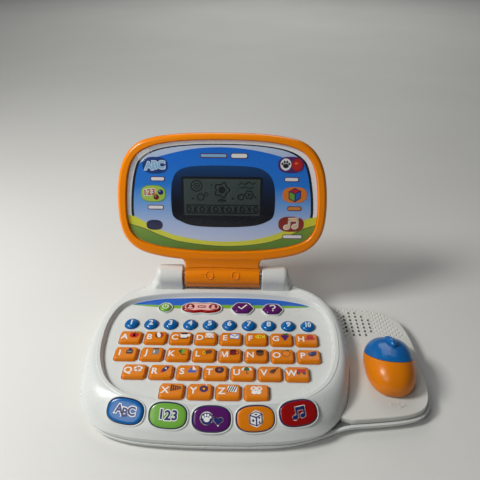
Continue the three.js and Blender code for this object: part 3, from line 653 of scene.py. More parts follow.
PLASTIC = dict(
    white=plastic("shell_white_plastic", (214, 217, 214), rough=0.30, coat=0.08, grain=0.04,
                  grain_scale=2600, drift=0.012, wear=0.05),
    # Textured pad plastic: the rougher grain is real; its slightly darker, warmer tint than the shell
    # white is painted shade.
    grey=plastic("pad_plastic_with_painted_shade", (210, 210, 204), rough=0.46, coat=0.0, grain=0.22,
                 grain_scale=1500, drift=0.015, wear=0.05),
    orange=plastic("lid_orange_plastic", (240, 134, 0), rough=0.22, grain_scale=2600),
    key=plastic("key_orange_plastic", (222, 124, 0), rough=0.30, coat=0.08, grain=0.06,
                grain_scale=2200, wear=0.12),
    blue=plastic("key_blue_plastic", (0, 96, 166), rough=0.2, coat=0.15, wear=0.12),
    green=plastic("button_green_plastic", (112, 170, 62), rough=0.22),
    red=plastic("button_red_plastic", (150, 6, 6), rough=0.2),
    purple=plastic("button_purple_plastic", (84, 22, 98), rough=0.2),
    steel=metal("steel_rod", (180, 182, 186), rough=0.3),
    screw=metal("screw_steel", (150, 150, 152), rough=0.35),
    rubber=plastic("rubber_mat", (170, 172, 174), rough=0.75, coat=0, grain=0.3,
                   grain_scale=900, drift=0.05, wear=0.0),
    board=plastic("circuit_board_green", (36, 110, 60), rough=0.4, coat=0.3, grain=0.2,
                  grain_scale=700, drift=0.08, wear=0.0),
    speaker=plastic("speaker_black", (30, 30, 32), rough=0.7, coat=0, grain=0.4,
                    grain_scale=700, drift=0.1, wear=0.0),
    dark=plastic("dark_bezel", (16, 20, 30), rough=0.3, coat=0.2, grain_scale=2600,
                 drift=0.02, wear=0.0),
    border=plastic("mode_border_navy", (22, 30, 92), rough=0.25, coat=0.1, wear=0.05),
    lens=clear_lens("screen_lens_clear"),
)
# key used by the prints: material name, colour
INK_COLOURS = dict(
    white=("ink_white", (238, 238, 236)), navy=("ink_navy", (26, 34, 104)),
    red=("ink_red", (196, 32, 36)), green=("ink_green", (112, 172, 56)),
    dkgreen=("ink_dark_green", (48, 98, 44)), blue=("ink_blue", (28, 98, 190)),
    yellow=("ink_yellow", (238, 206, 44)), brown=("ink_brown", (112, 62, 34)),
    black=("ink_black", (34, 32, 38)), grey=("ink_grey", (128, 130, 136)),
    orange=("ink_orange", (238, 134, 30)), purple=("ink_purple", (92, 34, 112)),
    faceplate=("ink_faceplate", (240, 190, 186)), sky=("ink_sky", (142, 190, 226)),
    numeral=("ink_numeral", (206, 226, 240)), maroon=("ink_maroon", (118, 22, 30)),
    band_blue=("band_blue", (24, 96, 196)), band_green=("band_green", (118, 176, 58)),
    sheet=("print_white", (250, 248, 250)), line=("print_dark_line", (14, 22, 40)),
    hill_light=("print_hill_light", (226, 222, 60)), hill_edge=("print_hill_edge", (96, 104, 28)),
    segment=("lcd_segment", (10, 14, 18)), lcd_frame=("lcd_frame", (6, 10, 16)),
    ovalblue=("ovalblue", (22, 62, 132)), cloud=("cloud", (214, 226, 244)),
    limeoval=("limeoval", (178, 204, 84)), brandnavy=("brandnavy", (24, 28, 74)),
    ovalpurple=("ovalpurple", (86, 36, 110)), ovalred=("ovalred", (170, 30, 34)),
    ovalorange=("ovalorange", (232, 128, 36)), ovalbrown=("ovalbrown", (146, 44, 26)),
    beige=("beige", (236, 196, 150)), caption=("caption", (242, 236, 240)),
    captiondark=("captiondark", (96, 44, 60)), captionorange=("captionorange", (226, 140, 60)),
)
INK = {key: ink(*row) for key, row in INK_COLOURS.items()}
INK.update(
    sky_side=lid_gradient("print_sky_pale", [
        (0, (206, 214, 240)), (0.5, (170, 196, 236)), (0.8, (176, 198, 232)),
        (1, (206, 216, 238))], low=40, high=140),
    arch=lid_gradient("print_sky", [
        (0, (206, 214, 240)), (0.22, (180, 198, 236)), (0.42, (116, 168, 232)),
        (0.6, (40, 128, 224)), (1, (20, 112, 220))], low=40, high=140),
    hill=lid_gradient("print_hill", [
        (0, (112, 120, 30)), (0.3, (96, 142, 36)), (1, (140, 170, 60))], low=28, high=64),
    window=lid_gradient("print_window", [
        (0, (4, 6, 16)), (0.4, (6, 14, 34)), (0.75, (10, 38, 78)), (1, (18, 66, 118))],
        low=56, high=119),
    lcd=lid_gradient("lcd_glass", [
        (0, (50, 60, 60)), (0.5, (54, 66, 64)), (1, (60, 74, 70))], low=66, high=108, rough=0.5),
)

# ------------------------------------------------------------------ shared outlines and places
deck_edge = smooth(mirrored([station[0] for station in BODY]), OUTLINE_STEPS)
rim_edge = smooth(mirrored([station[1] for station in BODY]), OUTLINE_STEPS)
handle_out = smooth(mirrored(HANDLE), 4)
handle_hole = at(rounded(98, 21, 9, 8), 0, 122.5)
lid_out = smooth(mirrored(LID_OUT), 4)
lid_in = smooth(mirrored(LID_IN), 4)
pad_outline = np.vstack([spline(array(PAD)[::-1], 4), [[90, 70], [90, -58]]])

key_outline = rounded(KEY_W, KEY_D, 3.2, 6)
key_hole = rounded(KEY_W + 2 * HOLE_PLAY, KEY_D + 2 * HOLE_PLAY, 3.5, 6)
number_hole = superellipse(NUMBER_R + HOLE_PLAY, NUMBER_R + HOLE_PLAY, 2, 40)
key_names = iter([f"key_letter_{c}" for c in string.ascii_lowercase] + ["key_picture"])
KEYS = [(next(key_names), (i - (count - 1) / 2) * KEY_PITCH, y)
        for y, count in KEY_ROWS for i in range(count)]
NUMBERS = [(f"key_number_{i + 1}", (i - 4.5) * NUMBER_PITCH, NUMBER_Y) for i in range(10)]


def player_outline():
    """Long oval with a slight waist."""
    points = []
    for i in range(72):
        t = 2 * math.pi * i / 72
        x = 19.5 * math.cos(t)
        half = min(8.0, 8.0 * abs(math.sin(t)) ** 0.75) * (1 - 0.2 * math.exp(-((x / 5.5) ** 2)))
        points.append((x, math.copysign(1, math.sin(t)) * half))
    return array(points)


def hexagon(width, depth):
    """Hexagon with softened corners."""
    corners = array([[width / 2, 0], [width * 0.27, depth / 2], [-width * 0.27, depth / 2],
                     [-width / 2, 0], [-width * 0.27, -depth / 2], [width * 0.27, -depth / 2]])
    out = []
    for i in range(6):
        before, corner, after = corners[i - 1], corners[i], corners[(i + 1) % 6]
        start, end = corner + (before - corner) * 0.22, corner + (after - corner) * 0.22
        for t in np.linspace(0, 1, 7):
            out.append((1 - t) ** 2 * start + 2 * t * (1 - t) * corner + t * t * end)
    return array(out)


# name, outline about its own centre, x, y, crown height, plastic
FUNCTIONS = [
    ("power_button", superellipse(6.1, 6.1, 2, 40), -57.4, FUNCTION_Y, 28.3, "green"),
    ("player_button", player_outline(), -19.9, FUNCTION_Y, 28.4, "red"),
    ("answer_button", hexagon(21.8, 15), 22.1, FUNCTION_Y + 0.2, 28.8, "purple"),
    ("help_button", hexagon(20.4, 14.2), 52.9, FUNCTION_Y - 0.7, 28.8, "purple"),
]


def slope_height(x, y):
    """Height at which the body outline passes nearest to x, y."""
    nearest, height = 1e9, 0
    for z in np.arange(BROW_Z, WIDE_Z - 0.1, -0.25):
        start = body_ring(z, steps=1)
        along = np.roll(start, -1, 0) - start
        reach = ((array([x, y]) - start) * along).sum(1)
        t = np.clip(reach / np.maximum((along ** 2).sum(1), 1e-9), 0, 1)
        distance = np.linalg.norm(start + along * t[:, None] - [x, y], axis=1).min()
        if distance < nearest:
            nearest, height = distance, z
    return height


def mode_place(x, y, yaw):
    """Map from a mode button's own frame (z out of the slope) to the body."""
    a, slope = math.radians(yaw), math.radians(SLOPE)
    across = array([math.cos(a), math.sin(a), 0])
    out = array([math.sin(a) * math.sin(slope), -math.cos(a) * math.sin(slope), math.cos(slope)])
    axes = array([across, np.cross(out, across), out])
    centre = [x, y, slope_height(x, y)]
    return lambda verts: array(verts) @ axes + centre


mode_out = superellipse(MODE_L / 2, MODE_W / 2, 2.6, 56)
mode_low = superellipse(MODE_L / 2 + 1, 6.5, 4, 56)
MODE_PLACE = {name: mode_place(x, y, yaw) for name, x, y, yaw, *_ in MODES}


def lid_place(verts):
    """Lid frame to body: x across, y up from the hinge axis, z out of the front face."""
    x, up, out = array(verts).T
    return np.column_stack([x, AXIS_Y + up * LEAN_SIN - out * LEAN_COS,
                            AXIS_Z + up * LEAN_COS + out * LEAN_SIN])


def mouse_place(verts):
    verts = array(verts)
    return np.column_stack([turned(verts[:, :2], MOUSE_YAW) + [MOUSE_X, MOUSE_Y],
                            verts[:, 2] + PAD_Z])


# ------------------------------------------------------------------ base, upper shell
def handle_loop(levels):
    """Carrying loop through (z, inset) levels; its hole overshoots both ends."""
    ob = raw("handle", Geo().stack(handle_out, *[(z, -inset) for z, inset in levels]))
    hole = [(z, inset * 0.8) for z, inset in levels]
    hole[0] = (hole[0][0] - 1, hole[0][1])
    hole[-1] = (hole[-1][0] + 1, hole[-1][1])
    return boolean(ob, Geo().stack(handle_hole, *hole))


def hinge_rod(radius, half, count=48):
    circle = superellipse(radius, radius, 2, count) + [AXIS_Y, AXIS_Z]
    return Geo().loft([np.column_stack([np.full(count, x), circle]) for x in (-half, half)])


# Flank of a hinge post, running down to the shoulder: x, top height, half width
FLANK = array([
    (60, 45.5, 11.9), (64.5, 45.4, 11.8), (68.0, 43.4, 11.6), (70.0, 41.2, 11.4),
    (71.4, 38.8, 11.1), (72.6, 36.2, 10.7), (74.0, 33.8, 10.1), (75.8, 31.6, 9.2),
    (78.0, 29.0, 7.4), (79.4, 26.6, 5.2), (80.0, 24.6, 3.0)])


def hinge_post(side):
    edge_in, edge_out = 1.0, 6.0  # edge rounding on the barrel side and on the outer side
    stations = [(POST_IN + edge_in * (1 - math.cos(a)), edge_in * (1 - math.sin(a)))
                for a in np.linspace(0, math.pi / 2, 5)]
    stations += [(POST_OUT - edge_out * (1 - math.cos(a)), edge_out * (1 - math.sin(a)))
                 for a in np.linspace(math.pi / 2, 0, 13)]
    rings = []
    for x, shrink in stations:
        r = BARREL_R - shrink
        a = np.linspace(0, math.pi, 28)
        top = np.stack([r * np.cos(a), r * np.sin(a)], 1)
        section = np.vstack([[[r, -14.0]], top, [[-r, -14.0]]])
        rings.append(np.column_stack([np.full(30, side * x), section + [AXIS_Y, AXIS_Z]]))
    post = raw("post", Geo().loft(rings))
    rings = []
    for x in np.concatenate([np.linspace(60, 79, 25), [79.5, 79.8, 80.0]]):
        top, half = (np.interp(x, FLANK[:, 0], FLANK[:, column]) for column in (1, 2))
        a = np.linspace(0, math.pi, 25)
        c, s = np.cos(a), np.sin(a)
        dome = np.stack([half * np.sign(c) * np.abs(c) ** 0.8, top - 9.0 + 9.0 * s ** 0.8], 1)
        section = np.vstack([[[half, 14.5]], dome, [[-half, 14.5]]])
        rings.append(np.column_stack([np.full(27, side * x), section + [AXIS_Y, 0]]))
    return boolean(post, Geo().loft(rings), "UNION")


def add_collar(geo, opening, width, height):
    """Rounded raised rim round an opening in the deck."""
    low = -0.35
    profile = [(0, low), (width, low), (width, height * 0.35), (width * 0.86, height * 0.75),
               (width * 0.62, height), (width * 0.3, height), (0, height * 0.72)]
    rings = [ring(offset(opening, out), DECK_Z + z) for out, z in profile]
    geo.loft(rings[::-1], closed=True)


def build_cavity():
    levels = (4.5, 11, 17, 22, 28)
    cavity = raw("cavity", Geo().loft([ring(body_ring(z, WALL), z) for z in levels]))
    loop = raw("loop", Geo().stack(handle_out, (5.5, -2.6), (12, -2.6), (17, -5)))
    boolean(loop, Geo().prism(offset(handle_hole, 2.6), 0, 30))
    boolean(cavity, loop, "UNION")
    boolean(cavity, Geo().prism(offset(deck_edge, 2.4), DECK_Z - DECK_T, RIM_Z + 3))
    return boolean(cavity, hinge_rod(BARREL_R + 4.0, POST_IN + 1.6))


def cut_key_openings(upper):
    holes, rims = Geo(), Geo()
    openings = [(at(key_hole, x, y), 0.7, 0.32) for _, x, y in KEYS]
    openings += [(at(number_hole, x, y), 0.8, 0.3) for _, x, y in NUMBERS]
    for name, outline, x, y, *_ in FUNCTIONS:
        width = 1.3 if name == "power_button" else 1.5
        openings.append((offset(at(outline, x, y), HOLE_PLAY), width, 1.5))
    for opening, width, height in openings:
        holes.prism(opening, HOLE_LOW, HOLE_HIGH)
        add_collar(rims, opening, width, height)
    boolean(upper, holes)
    boolean(upper, rims, "UNION")


def cut_mode_openings(upper):
    """Wells for the mode buttons, with narrower pockets below."""
    wells, pockets = Geo(), Geo()
    well = Geo().stack(mode_out, (-5.2, 0.4), (-0.4, 0.4), (0.1, 0.55), (3.0, 1.2))
    pocket = Geo().stack(mode_low, (-8, 0.5), (-2.7, 0.5))
    for place in MODE_PLACE.values():
        wells.add(place(well.verts), well.faces)
        pockets.add(place(pocket.verts), pocket.faces)
    boolean(upper, wells)
    boolean(upper, pockets)


def build_upper_shell():
    levels = [(SEAM_Z, 0.7), (7.2, 0.7), (7.4, 0.15)]
    levels += [(z, 0) for z in (8.0, 9.5, 11, 12.5, 14, 15.5, 17, 18.5, 20, 22, 24, 26,
                                27.5, 28.7, 29.4, 29.8, 30)]
    rings = [ring(body_ring(z, inset), z) for z, inset in levels]
    rings += [ring(offset(rim_edge, -0.3), 30.32), ring(offset(rim_edge, -0.8), RIM_Z)]
    upper = raw("upper", Geo().loft(rings))
    boolean(upper, handle_loop([
        (6.5, 0.7), (7.2, 0.7), (7.4, 0.1), (8, 0), (12, 0), (13.6, 0.25), (15.2, 0.85),
        (16.6, 1.7), (17.8, 2.7), (18.8, 3.9), (19.4, 5.0), (19.6, 5.9)]), "UNION")
    for side in (1, -1):
        boolean(upper, hinge_post(side), "UNION")
    boolean(upper, build_cavity())
    # sunken deck
    boolean(upper, Geo().stack(
        deck_edge, (DECK_Z, -DRAFT - 0.5), (DECK_Z + 0.14, -DRAFT - 0.12),
        (DECK_Z + 0.5, -DRAFT + 0.1), (RIM_Z - 0.9, -0.25), (RIM_Z - 0.35, 0.05),
        (RIM_Z, 0.55), (RIM_Z + 0.8, 1.6)))
    boolean(upper, hinge_rod(BARREL_R + 2.4, POST_IN - 0.6, 72))
    boolean(upper, hinge_rod(PIN_R + PIN_PLAY, 57.4))
    cut_key_openings(upper)
    cut_mode_openings(upper)
    clean(upper)
    finish(upper, "base_upper_shell_visual", "base", [PLASTIC["white"]], "base_upper_shell")


def build_mode_lips():
    """Rounded lips round the mode buttons."""
    profile = [(0, -1.2), (0, 0.30), (0.22, 0.62), (0.62, 0.74), (1.05, 0.56), (1.4, 0.05),
               (1.5, -1.2)]
    edge = offset(mode_out, 0.42)
    lip = Geo().loft([ring(offset(edge, out), z) for out, z in profile], closed=True)
    lips = Geo()
    for place in MODE_PLACE.values():
        lips.add(place(lip.verts), [face[::-1] for face in lip.faces])
    piece("mode_button_lips", lips, "base", [PLASTIC["white"]], angle=40)


# ------------------------------------------------------------------ key and button caps
# Rounding of a cap's edge: inset, drop below the crown
KEY_DROP = ((0.0, 3.4), (0.25, 2.4), (0.62, 1.3), (0.95, 0.66), (1.35, 0.26), (1.9, 0.06),
            (2.5, 0.0))
FUNCTION_DROP = ((0.0, 3.2), (0.06, 1.9), (0.3, 1.1), (0.8, 0.5), (1.6, 0.16), (2.7, 0.0))
# Number key profile: radius, z
DOME = [(8.0, CAP_FOOT_Z), (8.0, CAP_FLANGE_Z), (NUMBER_R, CAP_FLANGE_Z), (NUMBER_R, 25.9),
        (6.86, 26.5), (6.45, 27.3), (5.7, 28.05), (4.6, 28.62), (3.2, 28.98), (1.6, 29.16),
        (0.4, 29.2)]
# Mode button, inset and z in its own frame: navy border, then coloured top
MODE_SIDE = [(0.0, -3.0), (0.0, 0.35), (0.1, 0.7), (0.3, 0.98), (0.55, 1.13)]
MODE_TOP_Z = 1.74
MODE_TOP = [(0.72, 1.22), (1.2, 1.46), (2.0, 1.62), (3.2, 1.70), (5.2, MODE_TOP_Z)]


def cap_geo(outline, crown, drops, dish=0.0):
    """Flanged cap with a rounded edge and a top hollowed by dish."""
    flange = offset(outline, 1.0)
    rings = [ring(flange, CAP_FOOT_Z), ring(flange, CAP_FLANGE_Z), ring(outline, CAP_FLANGE_Z)]
    rings += [ring(offset(outline, -inset), crown - drop) for inset, drop in drops]
    last = rings[-1]
    centre = last.mean(0)
    inner = [centre + (last - centre) * [scale, scale, 1] + [0, 0, sink]
             for scale, sink in ((0.72, -dish * 0.55), (0.4, -dish * 0.9))]
    return Geo().loft(rings, top=False).crown(inner)


def build_caps():
    for name, x, y in KEYS:
        cap = cap_geo(at(key_outline, x, y), KEY_TOP, KEY_DROP, dish=0.12)
        piece(name + "_cap", cap, name, [PLASTIC["key"]], name, 50)
    circle = superellipse(1, 1, 2, 44)
    for name, x, y in NUMBERS:
        cap = Geo().loft([ring(circle * r, z) + [x, y, 0] for r, z in DOME])
        piece(name + "_cap", cap, name, [PLASTIC["blue"]], name, 50)
    for name, outline, x, y, crown, colour in FUNCTIONS:
        cap = cap_geo(at(outline, x, y), crown, FUNCTION_DROP)
        piece(name + "_cap", cap, name, [PLASTIC[colour]], name, 50)
    for name, _, _, _, colour, slot, _ in MODES:
        side = [ring(mode_low, -4.2), ring(mode_low, -3.2)]
        side += [ring(offset(mode_out, -inset), z) for inset, z in MODE_SIDE]
        top = [ring(offset(mode_out, -inset), z) for inset, z in MODE_TOP]
        piece(name + "_cap", Geo().loft(side, 1, top=False).crown(top), name,
              [PLASTIC[colour], PLASTIC["border"]], name, 50, MODE_PLACE[name])


# ------------------------------------------------------------------ printing
TEXT_DEPTH = 0.12


@functools.cache
def text_mesh(text, size, bold):
    """Vertices in millimetres centred on the glyphs, and faces, of raised lettering."""
    curve = bpy.data.curves.new("t", "FONT")
    curve.body, curve.size, curve.resolution_u = text, size, 4
    curve.offset = bold
    curve.extrude = TEXT_DEPTH / 2
    ob = bpy.data.objects.new("t", curve)
    SCENE.collection.objects.link(ob)
    mesh = evaluated(ob)
    bm = bmesh.new()
    bm.from_mesh(mesh)
    bmesh.ops.remove_doubles(bm, verts=bm.verts, dist=0.001)
    bm.verts.ensure_lookup_table()
    verts = array([tuple(v.co) for v in bm.verts])
    faces = [tuple(v.index for v in face.verts) for face in bm.faces]
    bm.free()
    bpy.data.objects.remove(ob)
    bpy.data.curves.remove(curve)
    bpy.data.meshes.remove(mesh)
    low, high = verts.min(0), verts.max(0)
    return verts - [(low[0] + high[0]) / 2, (low[1] + high[1]) / 2, low[2]], faces


class Print:
    """Thin printed layers, each a closed prism a little higher than the last."""

    def __init__(self, z, thick, step=0.03):
        self.geo, self.inks = Geo(), []
        self.z, self.thick, self.step = z, thick, step
        self.start(0, 0)

    def start(self, x, y, level=0):
        """Sets the centre of what follows and the layer it starts on."""
        self.origin, self.level = (x, y), level
        return self

    def slot(self, name):
        if INK[name] not in self.inks:
            self.inks.append(INK[name])
        return self.inks.index(INK[name])

    def lay(self, name, *shapes):
        for shape in shapes:
            self.geo.prism(anticlockwise(at(shape, *self.origin)), self.z - self.thick,
                           self.z + self.step * self.level, self.slot(name))
        self.level += 1
        return self

    def text(self, name, text, x, y, size, bold, wide=1.0):
        verts, faces = text_mesh(text, size, bold)
        flat = at(verts[:, :2] * [wide, 1], x + self.origin[0], y + self.origin[1])
        rise = verts[:, 2] / TEXT_DEPTH * (self.thick + self.step * self.level + 0.02)
        verts = np.column_stack([flat, self.z - self.thick + rise])
        self.geo.add(verts, faces, self.slot(name))
        self.level += 1

    def outlined(self, glyphs, *looks):
        """Sets (text, x, y) glyphs, each in turn in (level, ink, size, bold) looks."""
        for text, x, y in glyphs:
            for self.level, name, size, bold in looks:
                self.text(name, text, x, y, size, bold)

    def put(self, name, body, place):
        piece(name, self.geo, body, self.inks, place=place)


def half_disc(half_x, half_y):
    return [p for p in disc(0, -0.2, half_x, half_y, count=36) if p[1] >= -0.25]


# Key pictures, centred on 0, 0: layers of (ink, shapes) from the bottom up
ICONS = dict(
    a=[("red", disc(-1.3, -0.3, 2.2, 2.7, 12), disc(1.3, -0.3, 2.2, 2.7, -12)),
       ("brown", rect(0.2, 2.7, 0.6, 1.8, -15)), ("green", disc(1.8, 2.9, 1.5, 0.75, 25))],
    b=[("brown", disc(0, 0, 3.4, 3.1)), ("white", disc(-0.4, 0.2, 1.4, 3.0, 18)),
       ("red", disc(2.1, -0.2, 0.9, 2.1, -8))],
    c=[("black", disc(0.2, -2.6, 4.0, 0.9)),
       ("white", [(-3.4, 2.0), (-2.44, -2.4), (2.04, -2.4), (3.0, 2.0)]),
       ("black", disc(-0.2, 2.0, 3.2, 0.9)), ("white", disc(3.4, 0.3, 1.2, 1.4))],
    d=[("white", rect(0, -0.4, 6.4, 4.0, 0, 0.5)), ("white", disc(0, 1.9, 3.2, 1.2)),
       ("orange", stroke([(-3, 1.2), (-1.5, -1.8), (0, 0.8), (1.5, -1.8), (3, 1.2)], 0.7)),
       ("brown", rect(0, -2.4, 6.4, 0.6), rect(2.6, 3.1, 3.0, 0.5, 35))],
    e=[("blue", rect(0, 0, 7.6, 5.4, -6, 0.4)), ("white", rect(0, 0, 6.4, 4.2, -6, 0.3)),
       ("blue", stroke([(-3.1, 2.1), (0, -0.2), (3.0, 1.6)], 0.8))],
    f=[("yellow", disc(-0.4, 0, 3.0, 1.9)), ("yellow", [(1.8, 0), (4.0, 1.9), (4.0, -1.9)]),
       ("brown", disc(-2.0, 0.4, 0.45), rect(0, 0, 0.5, 2.6, 10), rect(1.2, 0, 0.5, 2.0, 10))],
    g=[("purple", *[disc(x, y, 1.15) for x, y in (
        (-2, 1), (0, 1.2), (2, 1), (-1, -0.7), (1, -0.7), (0, -2.4))]),
       ("dkgreen", disc(0.6, 2.9, 2.2, 0.9, 12))],
    h=[("red", disc(0, 0.3, 2.6, 2.9)), ("red", disc(0, -1.7, 4.2, 1.1)),
       ("maroon", rect(0, -0.7, 5.0, 0.9, 0, 0.3))],
    i=[("black", rect(0, -0.8, 4.8, 3.9, 0, 0.9)), ("navy", rect(0, 1.9, 2.2, 1.6, 0, 0.2)),
       ("grey", rect(0, -0.7, 3.4, 1.5, 0, 0.2))],
    j=[("grey", rect(0, -0.6, 4.8, 4.8, 0, 1.0)), ("brown", rect(0, 2.4, 4.4, 1.2, 0, 0.3)),
       ("white", rect(-1.1, -0.4, 0.9, 2.8, 0, 0.4))],
    k=[("dkgreen", [(0, 3.2), (-2.6, 0.6), (0, -2.6), (2.6, 0.6)]),
       ("green", [(0, 3.2), (0, -2.6), (2.6, 0.6)]),
       ("black", stroke([(0, -2.6), (1.2, -3.1), (2.0, -2.5), (3.4, -3.0)], 0.5))],
    l=[("brown", rect(0, 0, 6.8, 3.6, 14, 1.6)), ("yellow", disc(-2.6, -0.7, 1.1, 1.5, 14)),
       ("brown", disc(-2.6, -0.7, 0.55, 0.8, 14))],
    m=[("maroon", rect(-0.6, 0, 4.8, 4.8, 0, 0.8)), ("maroon", disc(2.4, 0, 1.5, 1.8)),
       ("orange", disc(2.4, 0, 0.7, 1.0)), ("black", disc(-0.6, 2.2, 2.4, 0.6))],
    n=[("brown", disc(0, -0.4, 2.9, 2.7)), ("black", disc(0, 1.5, 3.0, 1.3)),
       ("brown", rect(0, 3.0, 0.6, 1.2))],
    o=[("brown", disc(0, -0.2, 3.2, 3.0)), ("orange", disc(0, -0.2, 2.7, 2.5)),
       ("dkgreen", disc(0.9, 2.8, 1.5, 0.7, 22))],
    p=[("navy", rect(0, 0.2, 6.4, 3.2, 20, 1.0)), ("black", rect(0.6, -1.5, 4.4, 1.4, 20, 0.6)),
       ("grey", disc(-1.6, 0.2, 0.9, 0.6, 20))],
    q=[("white", *[disc(1.7 * math.cos(a), 1.5 * math.sin(a), 1.5, 1.3)
                   for a in np.arange(5) * 2 * math.pi / 5 + 0.3]),
       ("orange", disc(0, 0, 1.1))],
    r=[("navy", disc(0, 0, 1.6, 3.6, -38)), ("red", [(-2.6, -0.8), (-3.2, -3.2), (-0.9, -2.6)]),
       ("white", disc(0.4, 0.5, 0.7))],
    s=[("blue", [(-3.6, -0.9), (-2.4, -2.8), (2.4, -2.8), (3.6, -0.9)]),
       ("white", [(0.2, -0.5), (0.2, 3.4), (3.0, -0.5)]),
       ("blue", [(-0.3, -0.5), (-0.3, 2.6), (-2.4, -0.5)])],
    t=[("black", disc(0, 0, 3.2, 3.0)), ("maroon", disc(0, 0, 1.9, 1.8)),
       ("grey", disc(0, 0, 0.8))],
    u=[("white", half_disc(3.7, 3.3)), ("dkgreen", half_disc(2.1, 3.2)),
       ("brown", stroke([(0, -0.1), (0, -2.6), (0.6, -3.1), (1.2, -2.6)], 0.6))],
    v=[("brown", disc(-1.2, -1.0, 1.9, 1.7), disc(0.4, 0.4, 1.4, 1.3)),
       ("black", rect(2.0, 1.9, 3.4, 0.7, 42)), ("black", rect(-0.4, -0.2, 2.6, 0.4, 42))],
    w=[("red", rect(0, 0.3, 6.6, 3.0, 0, 0.4)),
       ("black", disc(-2, -1.8, 1.2), disc(2, -1.8, 1.2)),
       ("grey", disc(-2, -1.8, 0.5), disc(2, -1.8, 0.5)),
       ("black", stroke([(3.2, 1.5), (4.2, 2.8)], 0.5))],
    x=[("brown", stroke([(-3.4, -2.2), (3.4, -0.6)], 0.6),
        stroke([(-3.4, 2.2), (3.4, 0.8)], 0.6)),
       ("black", *[rect(-3.0 + 1.5 * i, 0, 0.95, 5.4 - 0.8 * i, 0, 0.3) for i in range(5)])],
    y=[("navy", disc(0, -0.4, 3.0, 2.8)), ("maroon", disc(0, -0.4, 1.9, 1.8)),
       ("yellow", disc(0, -0.4, 0.7)), ("white", stroke([(1.2, 2.0), (1.8, 3.0), (1.4, 3.8)], 0.35))],
    z=[("white", rect(0, 0, 6.6, 5.0, -8, 0.8)),
       ("black", *[rect(-2.4 + 1.5 * i, 0, 0.7, 5.0, -22, 0.2) for i in range(4)])],
    picture=[("white", disc(-6.0, 0.8, 2.5, 2.2, 30), disc(-1.0, 0.8, 2.5, 2.2, -30),
              disc(-5.6, -3.2, 2.1, 1.9, -20), disc(-1.6, -3.2, 2.1, 1.9, 20)),
             ("orange", disc(-6.0, 0.9, 1.2, 1.0, 30), disc(-1.0, 0.9, 1.2, 1.0, -30)),
             ("white", rect(-3.5, -1.2, 0.9, 7.6, -8, 0.4))],
)
LETTER_X, LETTER_Y, LETTER_SIZE = -5.6, -0.4, 9.4
ICON_AT, ICON_SCALE = [3.2, 1.9], 1.25
LETTER_M = array([
    (-3.9, -3.4), (-2.35, -3.4), (-2.35, 1.2), (-0.75, -3.4), (0.75, -3.4), (2.35, 1.2),
    (2.35, -3.4), (3.9, -3.4), (3.9, 3.4), (1.85, 3.4), (0, -1.5), (-1.85, 3.4), (-3.9, 3.4)])


def print_keys():
    for name, x, y in KEYS:
        symbol = name.split("_")[-1]
        art = Print(KEY_TOP - 0.02, 0.22)
        if symbol == "m":
            art.lay("white", LETTER_M * [0.88, 1] + [LETTER_X + 0.3, LETTER_Y])
        elif symbol != "picture":
            art.text("white", symbol.upper(), LETTER_X, LETTER_Y, LETTER_SIZE, 0.2)
        art.start(*ICON_AT)
        scale = 1.0 if symbol == "picture" else ICON_SCALE
        for colour, *shapes in ICONS[symbol]:
            art.lay(colour, *[array(shape) * scale for shape in shapes])
        art.put(name + "_print", name, lambda verts: verts + [x, y, 0])


def print_numbers():
    """Numerals laid over the domes."""
    dome_r, dome_z = array(DOME)[:2:-1].T
    for i, (name, x, y) in enumerate(NUMBERS):
        art = Print(29.26, 0.6)
        art.text("numeral", str(i + 1), 0, -0.5, 8.6, 0.3, wide=0.74 if i == 9 else 1.0)

        def drape(verts):
            height = np.interp(np.hypot(verts[:, 0], verts[:, 1]), dome_r, dome_z)
            return np.column_stack([verts[:, :2] + [x, y], verts[:, 2] - 28.82 + height])

        art.put(name + "_print", name, drape)


def draw_power(art):
    angles = np.linspace(math.radians(125), math.radians(415), 26)
    arc = [(2.9 * math.cos(a), 2.9 * math.sin(a)) for a in angles]
    art.lay("white", stroke(arc, 1.0), rect(0, 1.9, 1.0, 3.6, 0, 0.2))


def draw_player(art):
    """Two heads and shoulders joined by a bar."""
    art.lay("faceplate", offset(player_outline(), -2.0))
    art.lay("maroon", disc(-11.8, 0.0, 4.5, 4.3), disc(11.8, 0.0, 4.5, 4.3),
            rect(0, 0.2, 8.6, 3.4, 0, 1.2))
    art.lay("faceplate", disc(-11.8, 1.2, 1.7, 1.6), disc(-11.8, -2.0, 2.8, 1.3),
            disc(11.8, 1.2, 1.7, 1.6), disc(11.8, -2.0, 2.8, 1.3), rect(0, 0.2, 6.4, 1.3, 0, 0.5))


def draw_answer(art):
    art.lay("white", stroke([(-4.2, 0.2), (-1.2, -3.0), (4.4, 3.4)], 1.5))


def draw_help(art):
    hook = [(2.6 * math.cos(a), 1.5 + 2.5 * math.sin(a))
            for a in np.radians(np.linspace(165, -60, 12))] + [(0.25, -1.2), (0.1, -2.2)]
    art.lay("white", stroke(hook, 1.35), disc(0.1, -4.0, 0.85))


def print_functions():
    for row, draw in zip(FUNCTIONS, (draw_power, draw_player, draw_answer, draw_help)):
        name, _, x, y, crown, _ = row
        art = Print(crown + 0.06, 0.3 if name == "power_button" else 0.4)
        draw(art)
        art.put(name + "_print", name, lambda verts: verts + [x, y, 0])


def draw_letters(art):
    art.outlined([("A", -5.244, 1.08), ("B", 0.152, -0.9), ("C", 5.548, 0.9)],
                 (0, "white", 9.8, 0.95), (2, "navy", 9.5, 0.3))


def draw_numbers(art):
    art.outlined([("1", -5.412, 0.8), ("2", 0.0, 0.3), ("3", 5.576, 0.6)],
                 (0, "white", 10.6, 0.95), (2, "navy", 10.3, 0.35))


def draw_animals(art):
    art.lay("white", disc(-4.6, 0.5, 6.6, 6.2, 0, 32))
    art.lay("navy", disc(-4.6, 0.5, 5.7, 5.3, 0, 32)).lay("white", *paw(-4.6, 0.4, 1.75))
    art.start(0, 0).lay("white", heart(6.4, -1.6, 5.2)).lay("navy", heart(6.4, -1.6, 3.9))


